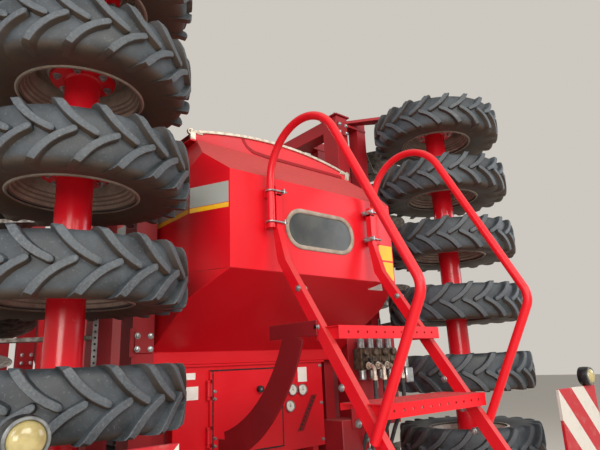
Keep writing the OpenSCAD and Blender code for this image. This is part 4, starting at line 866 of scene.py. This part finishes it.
# black strips along the door's edges: painted shadow of the gap round the recessed door
gap_shadow = [bar((-297, door_y - 1.6, z0), (142, door_y + 0.7, z0 + 7), 0.8) for z0 in (1178, 1565)]
gap_shadow += [bar((x0, door_y - 1.6, 1180), (x0 + 7, door_y + 0.7, 1570), 0.8) for x0 in (-284, 135)]
put("door_gap_painted_shadow", gap_shadow, black_paint, door_body)
put("door_knob_button", [at(cap(0, 3, 7, 0.8, 20), knob_x, 444, knob_z, "Z", -90)], zinc, door_body)
bolts("door_hinge_bolts", [(-270, door_y + 0.5, z, "Z", -90) for z in (1228, 1262, 1438, 1472)], 6.0, door_body)
# a perforated rail seen in shadow, drawn as a plate on the cabinet's front: its dark red is painted shade, and its
# holes are black discs of painted shade
slant = [(392, 1416), (352, 1416), (245, 1236), (285, 1236)]
put("slanted_strip", [prism(slant, cabinet_y - 4, sheet_y, 0.8)], dark_red_and_shade_enamel)
holes = [moved(x, cabinet_y - 4, z, "Z", -90) for x, z in np.linspace((366, 1400), (263, 1250), 9)]
put("slanted_strip_hole_painted_shade", [copies(cap(0, 0.6, 7, 0.2, 16), holes)], black_paint)
bolts("cabinet_bolts", [(x, sheet_y, z, "Z", -90) for x in (-466, 426) for z in (1180, 1370, 1570)], 7.0)
bezel_line = [(0, 0.01), (0, 26), (2, 30), (9, 30.5), (14, 29), (15, 27), (13.5, 25.5), (10, 25), (10, 0.01)]
bezels, dials, needles = [], [], []
for x, z in ((285, 1448), (215, 1451), (195, 1369)):
    spot = (x, 479.7, z, "Z", -90)
    bezels.append(at(turned(bezel_line, 40), *spot))
    dials.append(at(cap(9.5, 11, 25, 0.3, 40), *spot))
    needles += [bar((x - 1, 467, z - 4), (x + 1, 468, z + 17), 0.3), at(cap(10.5, 13, 3, 0.5, 16), *spot)]
gauge = put("gauge_bezels", bezels, zinc)
put("gauge_dials", dials, dial_white)
put("gauge_needles", needles, black_paint)
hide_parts("gauge_panel")


# Boards and lamps: warning boards with diagonal red and white bands on folded white sheet, and round
# marker lamps in rubber housings above them.
band_pitch = 200.0


def striped(name, side, x, z):
    """Retro-reflective film in bands at 45 degrees that fall to the outside, an edge through the board's
    middle (x, z): red where ((side X - x) + (Z - z)) cos 45 / pitch has a fraction under one half."""
    def red_half(tree, where):
        per = math.sqrt(0.5) * 1000 / band_pitch
        own_x, own_z = (add(tree, "SeparateXYZ", {0: where}, axis) for axis in "XZ")
        a = add(tree, "Math", {0: own_x, 1: side * per, 2: -(x + z) / 1000 * per}, operation="MULTIPLY_ADD")
        b = add(tree, "Math", {0: own_z, 1: per, 2: a}, operation="MULTIPLY_ADD")
        return add(tree, "Math", {0: add(tree, "Math", {0: b}, operation="FRACT"), 1: 0.5}, operation="LESS_THAN")
    return finish(name, "#c9c3ba", {"grain": (25.0, 5.0)},
                  [("#ad1a25", red_half), ("#a39a8f", ("grain", 0.5, 0.8, 0, 0.3))], 0.4)


def tray(x0, y0, z0, size, flange):
    """Board folded from 3 mm sheet: a square face at y0 and four flanges towards y0 + flange."""
    x1, z1, way = x0 + size, z0 + size, math.copysign(1, flange)
    flanges = [(x, x + 3, z0 + 1, z1 - 1) for x in (x0, x1 - 3)] + [(x0 + 1, x1 - 1, z, z + 3) for z in (z0, z1 - 3)]
    return [bar((x0, y0, z0), (x1, y0 + 3 * way, z1), 1.2),
            *[bar((a, y0 + way, c), (b, y0 + flange, d), 0.6) for a, b, c, d in flanges]]


board_x, board, board_y, board_z, rear_y = 1000.0, 423.0, -590.0, 989.0, 3898.0
for key, side in sides:
    for end, x, y, z, flange in (("front", board_x, board_y, board_z, 15), ("rear", 500, rear_y, 900, -15)):
        film_coat = striped("striped_film_" + end + "_" + key, side, x + board / 2, z + board / 2)
        x0 = min(side * x, side * (x + board))
        put(end + "_board_" + key, tray(x0, y, z, board, flange), film_coat)
lamp_x, lamp_y, lamp_z = 1340, board_y + 30, board_z + board + 47
housing_line = [(0, 0.01), (0, 40), (4, 46), (22, 48), (44, 47), (52, 44), (52, 39), (46, 38), (46, 0.01)]
lens_line = [(46, 0.01), (46, 37.5), (54, 37), (62, 30), (67, 18), (69, 0.01)]
arms, housings, lenses, rings = [], [], [], []
for side in (-1, 1):
    arms += [along([(0, lamp_y, 1090), (side * (board_x + 60), lamp_y, 1090)], circle(48, 32)),
             bar((side * (board_x + 30), board_y + 3.2, 1060), (side * (board_x + 70), board_y + 34, 1120), 2)]
    x, spot = side * lamp_x, (side * lamp_x, lamp_y, lamp_z, "Z", -90)
    housings += [at(turned(housing_line, 48), *spot),
                 bar((x - 15, lamp_y - 14.7, lamp_z - 90), (x + 15, lamp_y - 7, lamp_z - 37), 2)]
    lenses.append(at(turned(lens_line, 40), *spot))
    rings.append(at(ring(50, 57, 37.6, 45, 1.5, 40), *spot))
carrier = put("front_board_arms", arms, enamel, sharp=50)
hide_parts("front_boards")
put("marker_lamp_rings", rings, cast_grey)
lamp_body = put("marker_lamp_housings", housings, black_paint)
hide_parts("front_lamps")
# cream polycarbonate lens: warm white with a soft inner glow of light scattered in the plastic
cream_lens = finish("cream_lamp_lens", "#b3a675", {"cloud": (30.0, 3.0)}, [("#998b5c", ("cloud", 0.4, 0.7))], 0.15,
                    more={"Subsurface Weight": 0.3, "Subsurface Radius": (0.02, 0.015, 0.008)})

put("marker_lamp_lenses", lenses, cream_lens, sharp=60)
rear_line = [(0, 0.01), (0, 38), (3, 38), (6, 30), (7.5, 15), (8, 0.01)]
for name, tone, x in (("red", "#8f0f16", 590), ("amber", "#b8621a", 700), ("clear", "#b9b4aa", 795)):
    put("rear_lens_" + name, [copies(turned(rear_line, 40), [moved(s * x, rear_y, 855, "Z", 90) for s in (-1, 1)])],
        film("rear_lens_" + name, tone, 0.12))
rear_arms = [bar((side * 490, 3250, 905), (side * 550, rear_y - 2.5, 965), 3) for side in (-1, 1)]
holders = put("rear_board_carriers", rear_arms, enamel)
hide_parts("rear_boards")
# the jack's crank stands over its tube and is zinc-plated
repaint(shown["jack_tube"], zinc, lambda x, y, z: z > 1051)


# Valves: four cast spool valves side by side on a plate whose dark red is painted shade, each with a cap above and
# below, a black lever with a ball, and a zinc-plated elbow with a short clamped hose that runs down behind the plate.
def ball(d):
    """Sphere of diameter d: a half circle turned round X."""
    a = np.linspace(0.01, np.pi - 0.01, 14)
    return turned(np.stack([-np.cos(a), np.sin(a)], -1) * d / 2, 20, False)


# the plate's dark red is painted shade
plates = [bar((75, -104, 1300), (400, -98, 1690), 1.5), bar((20, -98, 1040.4), (140, 20, 1340), 3)]
bracket = put("valve_bracket", plates, dark_red_and_shade_enamel)
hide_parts("valve_block")
valve_x, valve_y, hose_y, clip_y = [130, 192, 254, 316], -132, -204, -75
castings, caps, levers, elbows, hoses = [], [], [], [], []
for x in valve_x:
    castings += [bar((x - 28, -160, 1546), (x + 28, -104, 1638), 5),
                 bar((x - 22, -165, 1578), (x + 22, -159, 1606), 2.5),
                 *[at(cap(0, 14, 17, 2, 24), x, -158, z, "Z", -90) for z in (1562, 1622)]]
    caps += [at(cap(0, 44, 16, 3, 28), x, valve_y, z, "Y", -90) for z in (1502, 1638)]
    caps += [at(cap(0, 5, 20, 1.5, 6), x, valve_y, z, "Y", -90) for z in (1541, 1638)]
    levers += [along([(x, valve_y, 1678), (x, -140, 1690), (x, -202, 1722)], circle(10, 14), (1, 0, 0)),
               at(ball(27), x, -206, 1725)]
    elbows += [at(part, x, -172, 1562, "Z", -90) for part in wheel_nut(13, 12)[:2]]
    drop = bent([(x, -172, 1562), (x, hose_y, 1562), (x, hose_y, 1518)], [0, 18, 0], 10)
    elbows += [along(drop, circle(17, 16), (1, 0, 0)), at(cap(0, 20, 12.5, 2, 6), x, hose_y, 1500, "Y", -90)]
    run = [(x, hose_y, 1506), (x, hose_y, 1400), (x + 14, -126, 1290), (x + 14, clip_y, 1180), (x + 14, clip_y, 1100)]
    hoses.append(along(bent(run, [0, 90, 110, 90, 0]), circle(19, 16), (1, 0, 0)))
levers.append(along([(145, -166, 1596), (150, -190, 1540), (154, -186, 1500)], circle(13, 14), (1, 0, 0)))
caps += [bar((394, -168, 1478), (446, -104, 1546), 4), at(cap(0, 74, 17, 4, 28), 426, -136, 1546, "Y", -90)]
put("valve_castings", castings, galvanised("dusty_valve_casting", "#7a6d5e", "#4a4037", 0.6))
put("valve_caps", caps, zinc)
put("valve_levers", levers, black_paint)
put("valve_elbows", elbows, cream_zinc)
put("valve_hoses", hoses, press_rubber)
put("lever_grip", [at(cap(0, 38, 9, 3, 20), 155, -185, 1464, "Y", -90)], glazing)
put("hose_clamp_bar", [bar((valve_x[0] - 6, clip_y - 14, 1130), (valve_x[3] + 36, clip_y - 9.5, 1160), 1)],
    zinc)

# Perforated adjusting strips on the outer tool bars: zinc-plated flat steel, punched with a hole every
# 25 mm and screwed on.
strip_x, strip_y, strip_z, hole_pitch = (864, 886), 396.5, (1555, 1835), 25
for key, side in sides:
    strip = bar((side * strip_x[0], strip_y, strip_z[0]), (side * strip_x[1], strip_y + 3.3, strip_z[1]), 0.8)
    put("perforated_strip_" + key, [strip], zinc, "wing_" + key)
    middle, heights = side * sum(strip_x) / 2, range(strip_z[0] + 15, strip_z[1], hole_pitch)
    # the holes are black discs on the strip: painted shade
    holes = [moved(middle, strip_y, z, "Z", -90) for z in heights]
    put("strip_hole_painted_shade_" + key, [copies(cap(0, 0.5, 5, 0.2, 12), holes)], black_paint, "wing_" + key)
